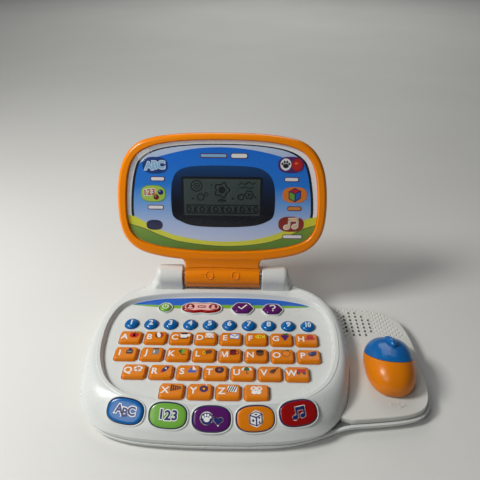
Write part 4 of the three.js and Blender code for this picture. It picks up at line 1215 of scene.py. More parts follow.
def draw_games(art):
    """A die."""
    art.lay("white", [(-6.0, 3.6), (0.2, 6.9), (6.6, 4.2), (6.4, -3.6), (0.8, -7.0), (-5.8, -4.2)])
    art.lay("navy", [(-5.0, 3.2), (0.2, 6.0), (5.8, 3.7), (5.6, -3.2), (0.8, -6.1), (-5.0, -3.7)])
    art.lay("white", [(-4.2, 3.1), (0.2, 5.2), (4.8, 3.5), (0.7, 1.5)],
            [(-4.3, 2.2), (0.1, 0.5), (0.1, -5.0), (-4.3, -3.2)],
            [(1.3, 0.5), (4.9, 2.7), (4.8, -2.9), (1.3, -5.0)])
    art.lay("navy", disc(-2.1, -1.4, 0.95, 1.1), disc(3.1, 0.6, 0.7, 0.9),
            disc(3.1, -2.8, 0.7, 0.9), disc(0.4, 3.4, 1.1, 0.6))


def draw_music(art):
    """A pair of beamed notes with a white edge."""
    for colour, grow in (("white", 0.9), ("navy", 0.0)):
        beam = [(-2.9 - grow, 5.8 + grow), (6.3 + grow, 6.6 + grow), (6.3 + grow, 3.6 - grow),
                (-2.9 - grow, 2.8 - grow)]
        art.lay(colour, disc(-4.2, -3.6, 2.6 + grow, 2.0 + grow, 15),
                disc(3.6, -2.6, 2.6 + grow, 2.0 + grow, 15),
                rect(-2.2, 1.0, 1.5 + 2 * grow, 9.6 + 2 * grow),
                rect(5.6, 1.8, 1.5 + 2 * grow, 9.2 + 2 * grow), beam)


def print_modes():
    pictures = (draw_letters, draw_numbers, draw_animals, draw_games, draw_music)
    for (name, *_, scale), draw in zip(MODES, pictures):
        art = Print(MODE_TOP_Z, 0.4, step=0.04)
        draw(art)
        art.put(name + "_print", name,
                lambda verts: MODE_PLACE[name](verts * [scale, scale, 1]))


# Edges of the coloured deck bands behind the keys, x, y
BLUE_TOP = [(-94.5, 59.1), (-85, 64.0), (-76, 67.5), (-55, 69.6), (-23, 71.1), (3, 71.6),
            (30, 71.5), (61, 68.9), (82, 63.8), (92, 59.3)]
GREEN_LOW = [(-94.5, 59.1), (-74, 56.4), (-42.6, 54), (3, 55), (40, 55.9), (82, 57.5),
             (92, 59.3)]


def build_deck_bands():
    low = spline(GREEN_LOW, 8)
    green_top = low + [0, 1.0] * np.sin(np.linspace(0, math.pi, len(low)))[:, None] * 5.5
    for colour, top, rise in (("blue", spline(BLUE_TOP, 8), 0.04), ("green", green_top, 0.07)):
        name = "deck_band_" + colour
        outline = anticlockwise(np.vstack([top, low[::-1][1:-1]]))
        ob = raw(name, Geo().prism(outline, DECK_Z - 0.1, DECK_Z + rise))
        cut = Geo()
        for _, button, x, y, *_ in FUNCTIONS:
            cut.prism(offset(at(button, x, y), 1.2), DECK_Z - 1, DECK_Z + 2)
        boolean(ob, cut)
        finish(ob, name, "base", [INK["band_" + colour]], weighted=False)


# ------------------------------------------------------------------ mouse pad wing
GRILLE_X, GRILLE_Y, GRILLE_DX, GRILLE_DY = 128.6, 66, 6.2, 5.35
# (row, column) places of the 7 by 5 grid left without a hole
GRILLE_SKIP = {(0, 0), (0, 3), (0, 4), (1, 4), (6, 0), (6, 4)}
ARROW = array([(-7, 1.4), (0.4, 1.4), (0.4, 3.6), (6.4, 0), (0.4, -3.6), (0.4, -1.4), (-7, -1.4)])


def has_dimple(x, y, holes):
    """True where the textured area of the pad carries a dimple."""
    if x < 116.5 or x > 191 - max(0, y - 22) * 0.40 or y > 75.5 - max(0, x - 125) * 0.13:
        return False
    if y < (22 + (x - 116) * 0.7 if x < 136 else 36 - max(0, x - 150) * 0.2):
        return False
    return all(math.hypot(x - hole_x, (y - hole_y) * 0.8) > 2.6 for hole_x, hole_y in holes)


def build_mouse_pad():
    pad = raw("pad", Geo().stack(
        pad_outline, (6.55, -0.1), (7.0, 0), (10.7, 0), (11.3, -0.15), (11.75, -0.5),
        (PAD_Z, -1.1)))
    boolean(pad, Geo().stack(pad_outline, (5.5, -2.4), (PAD_Z - PAD_T, -2.4)))
    # clearance round the body: outline height, height of the cutter
    levels = ((8, 3), (11, 11), (17, 17), (17, 20))
    boolean(pad, Geo().loft([ring(body_ring(source, -GAP), z) for source, z in levels]))
    boolean(pad, box(MOUSE_X - 13.6, MOUSE_X + 11.6, MOUSE_Y - 3.5, MOUSE_Y + 3.5, 0, 20))
    holes = [(GRILLE_X + column * GRILLE_DX, GRILLE_Y - row * GRILLE_DY)
             for row in range(7) for column in range(5) if (row, column) not in GRILLE_SKIP]
    grille, dimples = Geo(), Geo()
    for x, y in holes:
        grille.prism(disc(x, y, 1.45, 1.9, -12, 14), PAD_Z - 4, PAD_Z + 1)
    boolean(pad, grille)
    for row in range(-2, 17):
        for column in range(-5, 24):
            x, y = GRILLE_X + column * GRILLE_DX / 2, GRILLE_Y - row * GRILLE_DY / 2
            if (row + column) % 2 or not has_dimple(x, y, holes):
                continue
            size = 0.62 if 126 < x < 156 and 32 < y < 68 else 1.0  # smaller among the holes
            dimples.loft([
                ring(disc(x, y, 0.4 * size, 0.5 * size, -12, 10), PAD_Z - 0.8 * size),
                ring(disc(x, y, 0.85 * size, 1.0 * size, -12, 10), PAD_Z - 0.5 * size),
                ring(disc(x, y, 1.25 * size, 1.45 * size, -12, 10), PAD_Z + 0.15)])
    boolean(pad, dimples)
    # raised outline arrow at the front of the pad
    arrow = anticlockwise(at(ARROW, 158.5, -50.2))
    boolean(pad, Geo().prism(arrow, PAD_Z - 0.5, PAD_Z + 0.35), "UNION")
    boolean(pad, Geo().prism(offset(arrow, -0.7), PAD_Z, PAD_Z + 2))
    clean(pad)
    # The pad plastic carries a slightly darker, warmer tint than the shell white as painted shade.
    finish(pad, "mouse_pad_deck_visual", "base", [PLASTIC["grey"]], "mouse_pad_deck")


# ------------------------------------------------------------------ lower shell and underside
SCREWS = [(-84, 40), (84, 40), (-84, -34), (84, -34), (0, -46), (-52, 135.5), (52, 135.5)]
BOSSES = SCREWS[:5] + [(0, 44)]
HANDLE_SCREW_Y = 120  # screws beyond this y are in the carrying loop
FEET = [(-62, -66), (62, -66), (-92, 60), (168, 44), (168, -40), (-104, -8)]
DOOR_SCREW = (0, 95)


def build_outer_wall(lower_outline):
    """Low wall of the lower shell along the mouse pad wing."""
    wall = raw("wall", Geo().stack(lower_outline, (4.5, 0), (6.7, 0)))
    boolean(wall, Geo().stack(lower_outline, (3.5, -2.2), (7.5, -2.2)))
    boolean(wall, Geo().prism(body_ring(SEAM_Z, -1), 0, 20))
    boolean(wall, box(-200, 70, -200, 200, 0, 20))
    return boolean(wall, Geo().prism(offset(pad_outline, 0.4), SEAM_Z - GAP, 20))


def build_lower_shell():
    left = body_ring(SEAM_Z, -0.4, steps=1)[:len(BODY)].tolist()
    left[0], left[-1] = LOWER_RIGHT[0], LOWER_RIGHT[-1]
    outline = smooth(np.vstack([left, array(LOWER_RIGHT[1:-1])[::-1]]), 3)
    lower = raw("lower", Geo().stack(
        outline, (1.0, -3.4), (1.3, -2.1), (2.0, -1.1), (3.0, -0.4), (4.2, -0.06), (5.2, 0),
        (5.95, 0), (SEAM_Z - GAP, -0.25)))
    boolean(lower, handle_loop([(3.2, 3.4), (3.5, 2.2), (4.1, 1.1), (4.9, 0.35), (5.6, 0.02),
                                (6.15, 0.0)]), "UNION")
    boolean(lower, Geo().stack(outline, (0, -11), (0.25, -10.7), (1.6, -10)), "UNION")
    boolean(lower, Geo().stack(outline, (2.2, -3.4), (SEAM_Z + 2, -2.6)))
    loop = raw("loop", Geo().stack(handle_out, (5.2, -3.2), (7.5, -2.6)))
    boolean(loop, Geo().prism(offset(handle_hole, 2.6), 0, 30))
    boolean(loop, box(-200, 200, 0, 104, -5, 40))
    boolean(lower, loop)
    boolean(lower, build_outer_wall(outline), "UNION")
    # battery box, then its inside and the door recess
    boolean(lower, box(-31.8, 31.8, 62.2, 100.3, 1, 18.2), "UNION")
    boolean(lower, box(-30, 30, 64, 98.5, -1, 16.6))
    boolean(lower, box(-33, 33, 61, 101.5, -1, 1.9))
    for x, y in BOSSES[:5] + BOSSES[5:]:
        boolean(lower, Geo().round(x, y, (1.6, 3.6), (15.6, 3.6)), "UNION")
    # ring for the speaker
    seat = raw("seat", Geo().round(141, 47, (1.8, 20.5), (4.2, 20.5), count=48))
    boolean(seat, Geo().round(141, 47, (2.2, 18.6), (8.2, 18.6), count=48))
    boolean(lower, seat, "UNION")
    under = Geo()
    for x, y in SCREWS:
        floor_z = 3.4 if y < HANDLE_SCREW_Y else 5.2
        under.round(x, y, (-0.5, 3.1), (floor_z - 1.1, 2.9))
    for x, y in FEET:
        under.round(x, y, (-0.5, 5.6), (0.8, 5.4), count=36)
    for i in range(6):
        under.prism(rect(0, 12 - 5 * i, 44 - abs(i - 2.5) * 3, 1.6, 0, 0.7), -0.5, 0.6)
    boolean(lower, under)
    clean(lower)
    finish(lower, "base_lower_shell_visual", "base", [PLASTIC["white"]], "base_lower_shell")


# Screw shapes: (share of the radius, rise) levels, turn of the cross, depth of the cross
CASE_SCREW = (((0.45, -0.02), (0.8, 0.12), (1, 0.55), (1, 1.0), (0.55, 1.05), (0.5, 2.0)),
              20, 0.6)
LID_SCREW = (((0.45, -0.02), (0.8, 0.12), (1, 0.5), (1, 0.6)), 30, 0.42)


def cross_screw(x, y, z, radius, shape):
    """Cross-head screw facing towards -z."""
    levels, turn, depth = shape
    ob = raw("screw", Geo().round(x, y, *[(z + rise, radius * r) for r, rise in levels]))
    for angle in (turn, turn + 90):
        slot = rect(x, y, radius * 1.15, radius * 0.28, angle, 0.05)
        boolean(ob, Geo().prism(slot, z - 1, z + depth))
    return ob


def build_underside():
    """Case screws, feet and the battery door with its screw."""
    steel = [PLASTIC["screw"]]
    screws = [cross_screw(x, y, 0.9 if y < HANDLE_SCREW_Y else 3.3, 2.3, CASE_SCREW)
              for x, y in SCREWS]
    finish(join(screws, "s"), "case_screws", "base", steel, angle=40, weighted=False)
    feet = Geo()
    for x, y in FEET:
        feet.round(x, y, (0.06, 4.6), (0.12, 5.05), (0.4, 5.2), (0.78, 5.2), count=36)
    piece("anti_slip_feet", feet, "base", [PLASTIC["rubber"]], angle=32)

    outline = at(rounded(65.2, 39.7, 2.5, 5), 0, 81.25)
    door = raw("door", Geo().stack(outline, (0.1, -0.5), (0.5, 0), (1.55, 0)))
    cuts = Geo()
    for i in range(5):
        cuts.prism(rect(0, 70.5 + 2.2 * i, 20 - 3 * i, 0.9, 0, 0.4), -0.5, 0.5)
    cuts.round(*DOOR_SCREW, (-0.5, 3.1), (0.9, 2.9))
    boolean(door, cuts)
    clean(door)
    finish(door, "battery_door_visual", "base", [PLASTIC["white"]], "battery_door")
    finish(cross_screw(*DOOR_SCREW, 0.35, 2.2, CASE_SCREW), "battery_door_screw", "base", steel,
           angle=40, weighted=False)


# ------------------------------------------------------------------ display lid, front
# Front plate below the frame: distance up the lid, front face, half width
CHIN = [(12.9, 9.15, 39.5), (14.0, 9.05, 39.5), (16.0, 9.1, 39.5), (18.0, 9.3, 39.7),
        (19.6, 9.55, 40.2), (20.8, 9.8, 41.0), (21.9, 10.05, 42.6), (23.0, 10.28, 45.4),
        (24.2, 10.4, 47.0)]


def lid_boolean(ob, geo, operation="DIFFERENCE"):
    return boolean(ob, raw("c", geo, lid_place), operation)


def chin_rings():
    """The plate is bowed along its lower edge and rounded at both ends."""
    rings = []
    for up, face, half in CHIN:
        t = np.linspace(-1, 1, 41)
        height = up - (0.9 if up < 15 else 0.0) * t ** 2
        edge = np.clip((1 - np.abs(t)) * half / 1.6, 0, 1)
        front = face - 1.4 * (1 - np.sqrt(1 - (1 - edge) ** 2))
        rings.append(np.vstack([
            np.column_stack([t * half, height, front]),
            np.column_stack([(t * half)[::-1], height[::-1], np.full(41, 6.95)])]))
    return rings


def build_lid_frame():
    ob = raw("frame", Geo().stack(
        lid_out, (0.6, -0.3), (0.95, 0), (5.8, 0), (6.9, -0.12), (8.0, -0.5), (9.0, -1.1),
        (9.8, -1.9), (10.3, -2.8), (LID_FACE, -3.7)), lid_place)
    lid_boolean(ob, Geo().stack(lid_out, (-1, -2.4), (5.6, -2.4)))
    lid_boolean(ob, Geo().prism(offset(lid_in, -3.5), 0, 20))
    lid_boolean(ob, Geo().stack(lid_in, (7.4, 0), (9.6, 0.02), (10.1, 0.25), (10.45, 0.7),
                                (11.2, 1.6)))
    chin = raw("chin", Geo().loft(chin_rings()), lid_place)
    lid_boolean(chin, Geo().prism(offset(lid_in, 1.0), 0, 20))
    boolean(ob, chin, "UNION")
    clean(ob)
    finish(ob, "lid_front_frame_visual", "display_lid", [PLASTIC["orange"]], "lid_front_frame")


def build_lens():
    lens = Geo().stack(offset(lid_in, -0.35), (8.25, 0), (9.3, 0), (9.62, -0.2), (9.78, -0.7))
    piece("screen_lens_visual", lens, "display_lid", [PLASTIC["lens"]], "screen_lens",
          50, lid_place)


# ------------------------------------------------------------------ printed sheet and LCD
SHEET_MIDDLE = array([0, 85])
# Open paths in sheet coordinates, left to right
HILL_TOP = [
    (-95.5, 67.6), (-88, 65.8), (-80, 61.2), (-63, 52.4), (-48, 46.6), (-22, 41.6), (2, 40.4),
    (29, 42.2), (54, 48.6), (69, 56.6), (79, 62.4), (89, 66.2), (99, 67.6)]
HILL_LOW = [
    (-96, 59.0), (-80, 54.0), (-60, 45.4), (-40, 39.6), (2, 35.6), (40, 38.8), (64, 46.0),
    (84, 55.5), (99.5, 60.0)]
HILL_LINE = [
    (-96, 58.2), (-80, 53.0), (-60, 44.4), (-40, 38.7), (2, 34.8), (40, 38.0), (64, 45.1),
    (84, 54.6), (99.5, 59.2)]
ARCH = [
    (-104, 34), (-104, 60), (-104, 108), (-88, 117.5), (-72, 124), (-48, 130.8), (-25, 135.2),
    (0, 136.6), (25, 134.8), (50, 130), (78, 121.5), (90, 116.5), (104, 108), (104, 60),
    (104, 34)]
WINDOW = [
    (-46.5, 63.5), (-50.5, 70), (-51, 90), (-49, 104), (-43.5, 113), (-30, 117.6), (0, 118.7),
    (30, 117.6), (43.5, 113), (50.5, 104), (53, 90), (52.5, 70), (46.5, 62.5), (30, 57.2),
    (0, 55.7), (-30, 57.2), (-46.5, 63.5)]


def on_sheet(points):
    """Sheet coordinates to the lid's own plane."""
    return array(points) * [1.01, 1.005] + [0, 0.4]


def clip_outline(points, outline):
    """Pulls points outside the outline back on to it, towards the middle of the sheet."""
    corners = array(outline)
    out = []
    for point in array(points):
        ray = point - SHEET_MIDDLE
        best = 1.0
        for start, end in zip(corners, np.roll(corners, -1, 0)):
            side = end - start
            cross = ray[0] * side[1] - ray[1] * side[0]
            if abs(cross) < 1e-9:
                continue
            to_start = start - SHEET_MIDDLE
            t = (to_start[0] * side[1] - to_start[1] * side[0]) / cross
            u = (to_start[0] * ray[1] - to_start[1] * ray[0]) / cross
            if 0 <= u <= 1 and 0 < t < best:
                best = t
        out.append(SHEET_MIDDLE + ray * best)
    return array(out)


def print_sheet():
    """Landscape printed behind the lens."""
    edge = offset(lid_in, -0.7)
    border = on_sheet(smooth(mirrored(BORDER_IN), 3))
    shrink = [1 - 2.6 / 95, 1 - 1.1 / 55]
    sky = clip_outline((border - SHEET_MIDDLE) * shrink + SHEET_MIDDLE, edge)
    art = Print(7.46, 0.1)
    art.lay("sheet", edge)
    art.lay("line", clip_outline(border, edge))
    art.lay("sky_side", sky)
    art.lay("arch", clip_outline(on_sheet(spline(ARCH, 6)), sky))
    bottom = sorted([tuple(p) for p in edge if p[1] < 62],
                    key=lambda p: math.atan2(p[0], SHEET_MIDDLE[1] - p[1]))[::-1]
    for name, top in (("hill_light", HILL_TOP), ("hill_edge", HILL_LOW), ("hill", HILL_LINE)):
        art.lay(name, clip_outline(np.vstack([on_sheet(spline(top, 5)), bottom]), edge))
    art.lay("window", on_sheet(spline(WINDOW, 5)[:-1]))
    art.put("lens_print", "display_lid", lid_place)


def pattern_band(y=75.4, height=6.2):
    """Row of rings and crosses between two rules."""
    out = [rect(0, y + height / 2 + 1.1, 74, 0.7), rect(0, y - height / 2 - 1.0, 74, 0.7)]
    for i in range(11):
        x = -34 + 6.8 * i
        if i % 2 == 0:
            out.append(hollow(x, y, 2.7, height / 2, 0.98))
        else:
            out += [rect(x, y, 1.1, height * 1.08, turn, 0.1) for turn in (32, -32)]
    return out


def print_lcd():
    """LCD glass in the window, with its dark figures."""
    art = Print(7.84, 0.05, step=0.02)
    art.lay("lcd_frame", at(rounded(81.5, 42, 2.0, 4), 0, 87.5))
    art.lay("lcd", at(rounded(77, 37.5, 1.0, 4), 0, 87.5))
    wave = [(17, 100.6), (19.5, 103.4), (23, 101.0), (26.6, 103.8), (30.6, 101.4), (33.4, 103.2)]
    figures = [
        circle_band(-25.5, 99.2, 6.0, 1.12), circle_band(-25.5, 99.2, 3.2, 0.84),
        disc(-25.5, 99.2, 1.1), circle_band(-21.5, 87.8, 3.8, 1.12),
        circle_band(-15.8, 90.6, 2.2, 0.84), disc(-29.5, 86.2, 1.0), disc(-10.6, 100.5, 0.8),
        bloom(0, 95.2, 7.4, 5, 1.3), circle_band(0, 95.2, 3.4, 1.82), disc(0, 95.2, 1.2),
        rect(0, 84.4, 1.0, 4.4), disc(-2.4, 84.6, 2.2, 1.0, 24), disc(2.4, 84.6, 2.2, 1.0, -24),
        circle_band(19.2, 88.2, 3.4, 1.12), bloom(27.4, 90.6, 4.4, 6, 1.04),
        disc(27.4, 90.6, 1.2), disc(33.6, 88.0, 0.8), disc(11.0, 86.6, 0.9),
        stroke(wave, 0.9), stroke([(18, 97.4), (22, 98.6), (27, 97.2), (32, 98.4)], 0.7)]
    art.level = 3
    for figure in figures + pattern_band():
        art.lay("segment", figure)
    art.put("lcd_graphics", "display_lid", lid_place)


# Caption bars: x, y in sheet coordinates, ink, then width, height and corner radius of the
# dark bar and of the paler one on it
CAPTIONS = [(x, y, name, (width + 1.4, 4.6, 1.6), (width, 3.2, 1.2)) for x, y, width, name in (
    (-64, 105, 13, "caption"), (-67, 76, 15, "caption"), (69, 105.5, 13, "caption"),
    (72.7, 76, 13, "captionorange"), (71.8, 46.5, 19, "caption"))]
CAPTIONS += [(-8, 128.4, "sky", (27, 4.4, 1.6), (25.4, 2.8, 1.2)),
             (17, 128.4, "white", (17.5, 5.4, 2.4), (15.8, 4.0, 1.9))]


def print_badges():
    """Oval pictures round the window, and caption bars."""
    art = Print(7.84, 0.2, step=0.025)

    def oval(x, y, width, height, name, edge=None):
        """Starts a picture on an oval centred at x, y of the sheet."""
        art.start(*on_sheet((x, y)))
        if edge:
            art.lay(edge, disc(0, 0, width / 2 + 0.7, height / 2 + 0.7, 0, 36, 2.6))
        art.lay(name, disc(0, 0, width / 2, height / 2, 0, 36, 2.6))

    # left column: letters, numbers with balls, a plain oval
    oval(-66, 118.5, 25, 16.5, "ovalblue")
    art.outlined([("A", -6.3, -0.6), ("B", 0, 0.2), ("C", 6.3, 0.4)],
                 (2, "cloud", 11, 1.0), (3, "sky", 10.4, 0.3))
    oval(-69, 90, 24, 16, "limeoval", "green")
    art.outlined([("1", -8.2, 1.0), ("2", -4.0, 1.6), ("3", 0.2, 1.9)],
                 (3, "white", 8.8, 0.8), (4, "red", 8.2, 0.25))
    art.level = 4
    art.lay("navy", disc(7.6, 1.6, 2.8)).lay("maroon", disc(3.0, -3.6, 2.8))
    art.lay("sky", disc(6.8, 2.5, 0.7), disc(2.2, -2.7, 0.7))
    oval(-69, 57.5, 16.5, 10.5, "brandnavy")

    # right column: paw and ball, die, beamed notes
    oval(68, 120, 25.5, 16, "ovalpurple")
    art.lay("ovalred", disc(6.0, 0, 5.6, 6.6, 0, 30))
    art.lay("white", disc(-5.2, 0.3, 5.4, 6.0, 0, 30)).lay("black", *paw(-5.2, -0.2, 1.7))
    art.lay("red", disc(6.0, 0, 4.0, 4.4)).lay("orange", disc(5.0, 1.5, 1.4, 1.0))
    oval(72.6, 90, 24.5, 16, "ovalorange")
    art.lay("navy", [(-6.2, 3.6), (0, 7.2), (6.4, 4.2), (6.2, -3.6), (0.6, -7.4), (-6.0, -4.2)])
    art.lay("red", [(-4.8, 3.8), (0, 6.2), (5.0, 4.2), (0.6, 1.6)])
    art.lay("green", [(-5.2, 2.8), (0.0, 0.6), (0.0, -6.0), (-5.0, -3.6)])
    art.lay("blue", [(1.1, 0.7), (5.4, 3.2), (5.2, -3.2), (1.1, -5.8)])
    oval(70, 59.7, 26, 16, "ovalbrown")
    art.lay("white", disc(-4.4, -3.2, 3.6, 2.9, 15), disc(4.0, -2.4, 3.6, 2.9, 15),
            rect(-1.9, 1.2, 2.4, 9.0), rect(6.4, 2.0, 2.4, 9.0),
            [(-3.0, 6.6), (7.6, 7.2), (7.6, 3.2), (-3.0, 2.6)])
    art.lay("beige", disc(-4.4, -3.2, 2.8, 2.1, 15), disc(4.0, -2.4, 2.8, 2.1, 15),
            rect(-1.9, 1.2, 1.4, 8.2), rect(6.4, 2.0, 1.4, 8.2),
            [(-2.5, 5.9), (7.0, 6.5), (7.0, 3.8), (-2.5, 3.2)])

    for x, y, name, dark, pale in CAPTIONS:
        art.start(*on_sheet((x, y)))
        for colour, (width, height, radius) in (("captiondark", dark), (name, pale)):
            art.lay(colour, rect(0, 0, width, height, 0, radius))
    art.put("lens_pictures", "display_lid", lid_place)


# ------------------------------------------------------------------ lid rear cover and barrel
NECK_HALF, NECK_INNER = 39.5, 36.5
MARK_ANGLE = 23  # degrees round the barrel from the front
LID_SCREWS = [(-80, 122), (80, 122), (-82, 46), (82, 46), (-50, 31.5), (50, 31.5)]


def lid_rod(radius, half, count=72, bevel=0.7):
    """Bevelled rod along the hinge axis, in the lid frame."""
    ends = ((-half, radius - bevel), (-half + bevel * 0.3, radius - bevel * 0.3),
            (-half + bevel, radius), (half - bevel, radius),
            (half - bevel * 0.3, radius - bevel * 0.3), (half, radius - bevel))
    return Geo().loft([np.column_stack([np.full(count, x), superellipse(r, r, 2, count)])
                       for x, r in ends])


def neck_swelling():
    """Swollen front of the neck, from the barrel up to the chin."""
    sections = []
    for x in np.linspace(-39.0, 39.0, 27):
        t = abs(x) / 39.0
        full = (1 - max(0.0, (t - 0.93) / 0.07) ** 2) ** 0.5 if t < 1 else 0.0
        drop = t ** 2
        profile = array([
            (-1.5, 11.4), (1.0, 11.95), (3.0, 11.95 + 0.1 * full), (5.5, 11.2 + 0.15 * full),
            (7.5, 10.2 + 0.2 * full), (9.3 - drop, 9.45 + 0.2 * full),
            (11.0 - drop, 9.0 + 0.1 * full), (12.2 - drop, 8.6), (12.4 - drop, 7.9),
            (12.0 - drop, 7.0), (8.0, 6.8), (0.0, 7.0)])
        sections.append(np.column_stack([np.full(len(profile), x), profile]))
    return Geo().loft(sections)


def on_barrel(x, angle, rise):
    """Points standing rise proud of the swollen barrel at angles round the axis."""
    radius = rise + np.interp(np.degrees(angle), [-8, 5, 14, 26, 36, 44, 52],
                              [11.55, 12.0, 12.42, 12.62, 12.85, 13.3, 14.2])
    return np.column_stack([x, radius * np.sin(angle), radius * np.cos(angle)])


def barrel_ring(centre_x):
    """Raised ring on the barrel."""
    outer, inner, rise = 4.4, 3.3, 0.65
    rings = []
    for r, h in ((outer, -0.5), (outer, rise * 0.6), (outer - 0.25, rise),
                 (inner + 0.25, rise), (inner, rise * 0.6), (inner, -0.5)):
        t = np.arange(40) * 2 * math.pi / 40
        angle = math.radians(MARK_ANGLE) + r * np.sin(t) / BARREL_R
        rings.append(on_barrel(centre_x + r * np.cos(t), angle, h))
    return Geo().loft(rings, closed=True)


def build_neck():
    neck = raw("neck", box(-NECK_HALF, NECK_HALF, 0, 20.3, -9.3, 9.3), lid_place)
    lid_boolean(neck, box(-NECK_HALF, NECK_HALF, 18, 27, -9.3, 0.25), "UNION")
    lid_boolean(neck, lid_rod(BARREL_R, BARREL_HALF), "UNION")
    lid_boolean(neck, box(-NECK_INNER, NECK_INNER, 7.5, 40, -6.6, 6.6))
    lid_boolean(neck, Geo().prism(offset(lid_out, 0.35), 0.25, 12))
    lid_boolean(neck, box(-60, 60, 11.6, 40, 6.6, 12))
    return lid_boolean(neck, neck_swelling(), "UNION")


def build_lid_cover():
    cover = raw("cover", Geo().stack(
        lid_out, (LID_BACK, -8.0), (LID_BACK + 0.12, -6.0), (LID_BACK + 0.6, -4.4),
        (LID_BACK + 1.4, -3.0), (LID_BACK + 2.5, -1.8), (LID_BACK + 3.9, -0.9),
        (LID_BACK + 5.6, -0.35), (-3.2, -0.05), (-1.5, 0), (-0.1, 0), (0.25, -0.3)), lid_place)
    lid_boolean(cover, Geo().stack(lid_out, (LID_BACK + 2.4, -7.5), (LID_BACK + 5.2, -2.6),
                                   (2, -2.4)))
    boolean(cover, build_neck(), "UNION")
    lid_boolean(cover, box(-NECK_INNER, NECK_INNER, 7.5, 40, -6.6, 2))
    lid_boolean(cover, lid_rod(PIN_R + PIN_PLAY, BARREL_HALF + 2, 40, 0))
    # moulded marks on the barrel: two rings and a dash
    for x in (-13.2, 14.0):
        lid_boolean(cover, barrel_ring(x), "UNION")
    dash = rect(-20.2, 0, 4.0, 1.0, 0, 0.4)
    angle = math.radians(MARK_ANGLE + 5) + dash[:, 1] / BARREL_R
    rings = [on_barrel(dash[:, 0], angle, rise) for rise in (-0.5, 0.6)]
    lid_boolean(cover, Geo().loft(rings), "UNION")
    # back face: shallow panel and screw wells
    panel = at(superellipse(70, 38, 3.2, 72), 0, 88)
    lid_boolean(cover, Geo().stack(panel, (LID_BACK - 1, 0.6), (LID_BACK + 0.05, 0),
                                   (LID_BACK + 0.6, -0.7)))
    wells = Geo()
    for x, y in LID_SCREWS:
        wells.round(x, y, (LID_BACK - 1, 3.2), (LID_BACK + 1.9, 2.9))
    lid_boolean(cover, wells)
    clean(cover)
    finish(cover, "lid_rear_cover_visual", "display_lid", [PLASTIC["orange"]],
           "lid_rear_cover")
    screws = [cross_screw(x, y, LID_BACK + 1.25, 2.2, LID_SCREW) for x, y in LID_SCREWS]
    finish(move(join(screws, "s"), lid_place), "lid_screws", "display_lid",
           [PLASTIC["screw"]], angle=40, weighted=False)


# ------------------------------------------------------------------ computer mouse
MOUSE_WALL = 2.4
# The button meets the shell in the slanted plane y + SPLIT_SLOPE * z = SPLIT
SPLIT, SPLIT_SLOPE, BUTTON_LOW = 24.5, 1.55, 6.2
EGG_HEIGHTS = [0, 0.02, 0.05, 0.1, 0.18, 0.27, 0.36, 0.45, 0.54, 0.62, 0.70, 0.77, 0.83, 0.88,
               0.925, 0.96, 0.985, 0.996]


def egg_ring(scale, z, shift):
    t = np.arange(96) * 2 * math.pi / 96
    c, s = np.cos(t), np.sin(t)
    half = MOUSE_L / 2
    y = half * np.sign(s) * np.abs(s) ** 0.86
    taper = 1 + 0.062 * (y / half) + 0.061 * (y / half) ** 2
    x = (MOUSE_W / 2) * np.sign(c) * np.abs(c) ** 0.86 * taper * scale
    return np.column_stack([x, y * scale + shift, np.full(96, z)])


def egg(inset=0):
    """Mouse body; with an inset, the hollow inside it."""
    bottom = 0.4 + (2 if inset else 0)
    height = MOUSE_H - (inset + 2 if inset else 0)
    rings = []
    for h in EGG_HEIGHTS:
        scale = (1 - h ** 2.5) ** (1 / 2.1)
        scale *= float(np.interp(h, [0, 0.02, 0.05, 0.1, 0.18, 0.27],
                                 [0.93, 0.96, 0.975, 0.982, 0.99, 1.0]))
        rings.append(egg_ring(max(0.03, scale - inset / 26), bottom + h * height, -3.45 * h))
    return Geo().loft(rings)


def button_region(gap, low):
    """Everything above the slanted plane and above low."""
    level = SPLIT + gap * math.hypot(1, SPLIT_SLOPE)
    profile = array([(level - SPLIT_SLOPE * low, low), (70, low), (70, 60),
                     (level - SPLIT_SLOPE * 60, 60)])
    return Geo().loft([np.column_stack([np.full(4, x), profile]) for x in (-60, 60)])


def bulb():
    """Tilted ellipsoid that stands out of the mouse button."""
    half_x, half_y, half_z = 4.3, 9.2, 4.4
    rings = []
    for k in range(1, 16):
        a = math.pi * k / 16
        section = superellipse(half_x * math.sin(a), half_y * math.sin(a), 2, 32)
        rings.append(ring(section, -half_z * math.cos(a)))
    geo = Geo().loft(rings)
    verts = array(geo.verts)
    verts[:, 1:] = turned(verts[:, 1:], -21) + [0, 23.9]
    verts[:, :2] = turned(verts[:, :2], 20) + [-0.4, 12.0]
    geo.verts = [tuple(p) for p in verts]
    return geo


def build_mouse():
    button = raw("button", egg())
    boolean(button, button_region(0.4, BUTTON_LOW + 0.8), "INTERSECT")
    boolean(button, egg(MOUSE_WALL))
    boolean(button, boolean(raw("bulb", bulb()), egg(MOUSE_WALL)), "UNION")
    clean(button)
    finish(move(button, mouse_place), "mouse_button_visual", "mouse_click_button",
           [PLASTIC["blue"]], "mouse_button", 32)
    shell = boolean(raw("shell", egg()), button_region(0, BUTTON_LOW))
    boolean(shell, egg(MOUSE_WALL))
    # stem with a wider foot, reaching down through the pad
    boolean(shell, Geo().round(0, 0, (-4.2, 3), (1.8, 3), count=32), "UNION")
    boolean(shell, Geo().round(0, 0, (-4.2, 5), (-2.6, 5), count=32), "UNION")
    clean(shell)
    finish(move(shell, mouse_place), "mouse_shell_visual", "computer_mouse", [PLASTIC["key"]],
           "mouse_shell", 32)


def dress_hidden_pieces():
    """Pieces that keep their CAD shape only get a material."""
    for node, name in (("key_mat", "rubber"), ("main_circuit_board", "board"),
                       ("speaker", "speaker"), ("hinge_pin", "steel"), ("lcd_module", "dark")):
        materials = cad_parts[node].data.materials
        materials.clear()
        materials.append(PLASTIC[name])


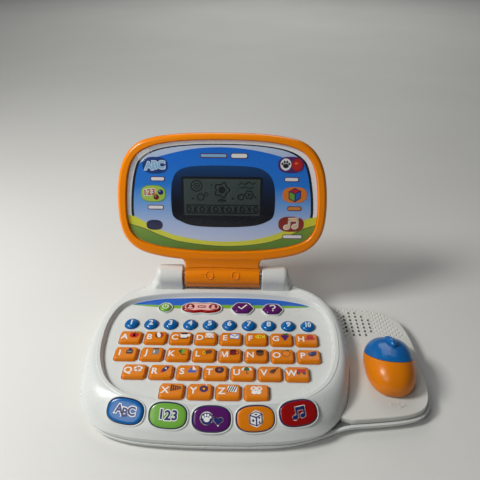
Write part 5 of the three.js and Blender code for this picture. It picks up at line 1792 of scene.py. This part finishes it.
# ------------------------------------------------------------------ stage, light and camera
def build_floor():
    material, tree, shader, place = new_material("floor")
    ramp = add_node(tree, "ValToRGB", {"Fac": noise(tree, place, scale=3, detail=5)})
    for element, rgb in zip(ramp.color_ramp.elements, ((211, 210, 206), (225, 225, 221))):
        element.color = linear(rgb)
    feed(tree, shader, {"Base Color": ramp.outputs["Color"], "Roughness": 0.6})
    mesh = bpy.data.meshes.new("floor")
    mesh.from_pydata([(-3, -3, 0), (3, -3, 0), (3, 3, 0), (-3, 3, 0)], [], [(0, 1, 2, 3)])
    mesh.materials.append(material)
    floor = bpy.data.objects.new("floor", mesh)
    SCENE.collection.objects.link(floor)


def build_world():
    """Light grey where the camera sees it, dim as a light."""
    light, seen = 0.09, 0.42
    world = bpy.data.worlds.new("world")
    SCENE.world = world
    world.use_nodes = True
    tree = world.node_tree
    background = tree.nodes["Background"]
    feed(tree, background, {"Color": (0.95, 0.96, 1.0, 1), "Strength": light})
    camera_ray = add_node(tree, "LightPath").outputs["Is Camera Ray"]
    feed(tree, background, {"Strength": remap(tree, camera_ray, (light, seen))})


def add_area(name, location, target, size, energy, colour):
    light = bpy.data.lights.new(name, "AREA")
    light.energy, light.size, light.color = energy, size, colour
    ob = bpy.data.objects.new(name, light)
    ob.location = location
    aim = Vector(target) - Vector(location)
    ob.rotation_euler = aim.to_track_quat("-Z", "Y").to_euler()
    SCENE.collection.objects.link(ob)


def build_lights():
    add_area("key_light", location=(-0.70, -0.08, 0.78), target=(0.02, 0.02, 0.04), size=0.26,
             energy=8.4, colour=(1.0, 0.995, 0.97))
    add_area("front_light", location=(-0.62, -0.70, 0.78), target=(0, 0.08, 0.08), size=0.46,
             energy=2.4, colour=(1.0, 1.0, 0.99))
    add_area("back_light", location=(0.1, 2.2, 1.5), target=(0, 1.4, 0), size=1.6,
             energy=16.0, colour=(1.0, 1.0, 0.98))


def build_camera():
    camera = bpy.data.cameras.new("camera")
    camera.sensor_width, camera.lens, camera.clip_start = 36, 36.075, 0.01
    ob = bpy.data.objects.new("camera", camera)
    ob.location = (0.0278, -0.3207, 0.3585)
    ob.rotation_euler = (math.radians(56.59), 0, math.radians(1.27))
    SCENE.collection.objects.link(ob)
    SCENE.camera = ob
    SCENE.view_settings.view_transform = "Standard"


build_upper_shell()
build_mode_lips()
build_caps()
print_keys()
print_numbers()
print_functions()
print_modes()
build_deck_bands()
build_mouse_pad()
build_lower_shell()
build_underside()
build_lid_frame()
build_lens()
print_sheet()
print_lcd()
print_badges()
build_lid_cover()
build_mouse()
dress_hidden_pieces()
build_floor()
build_world()
build_lights()
build_camera()
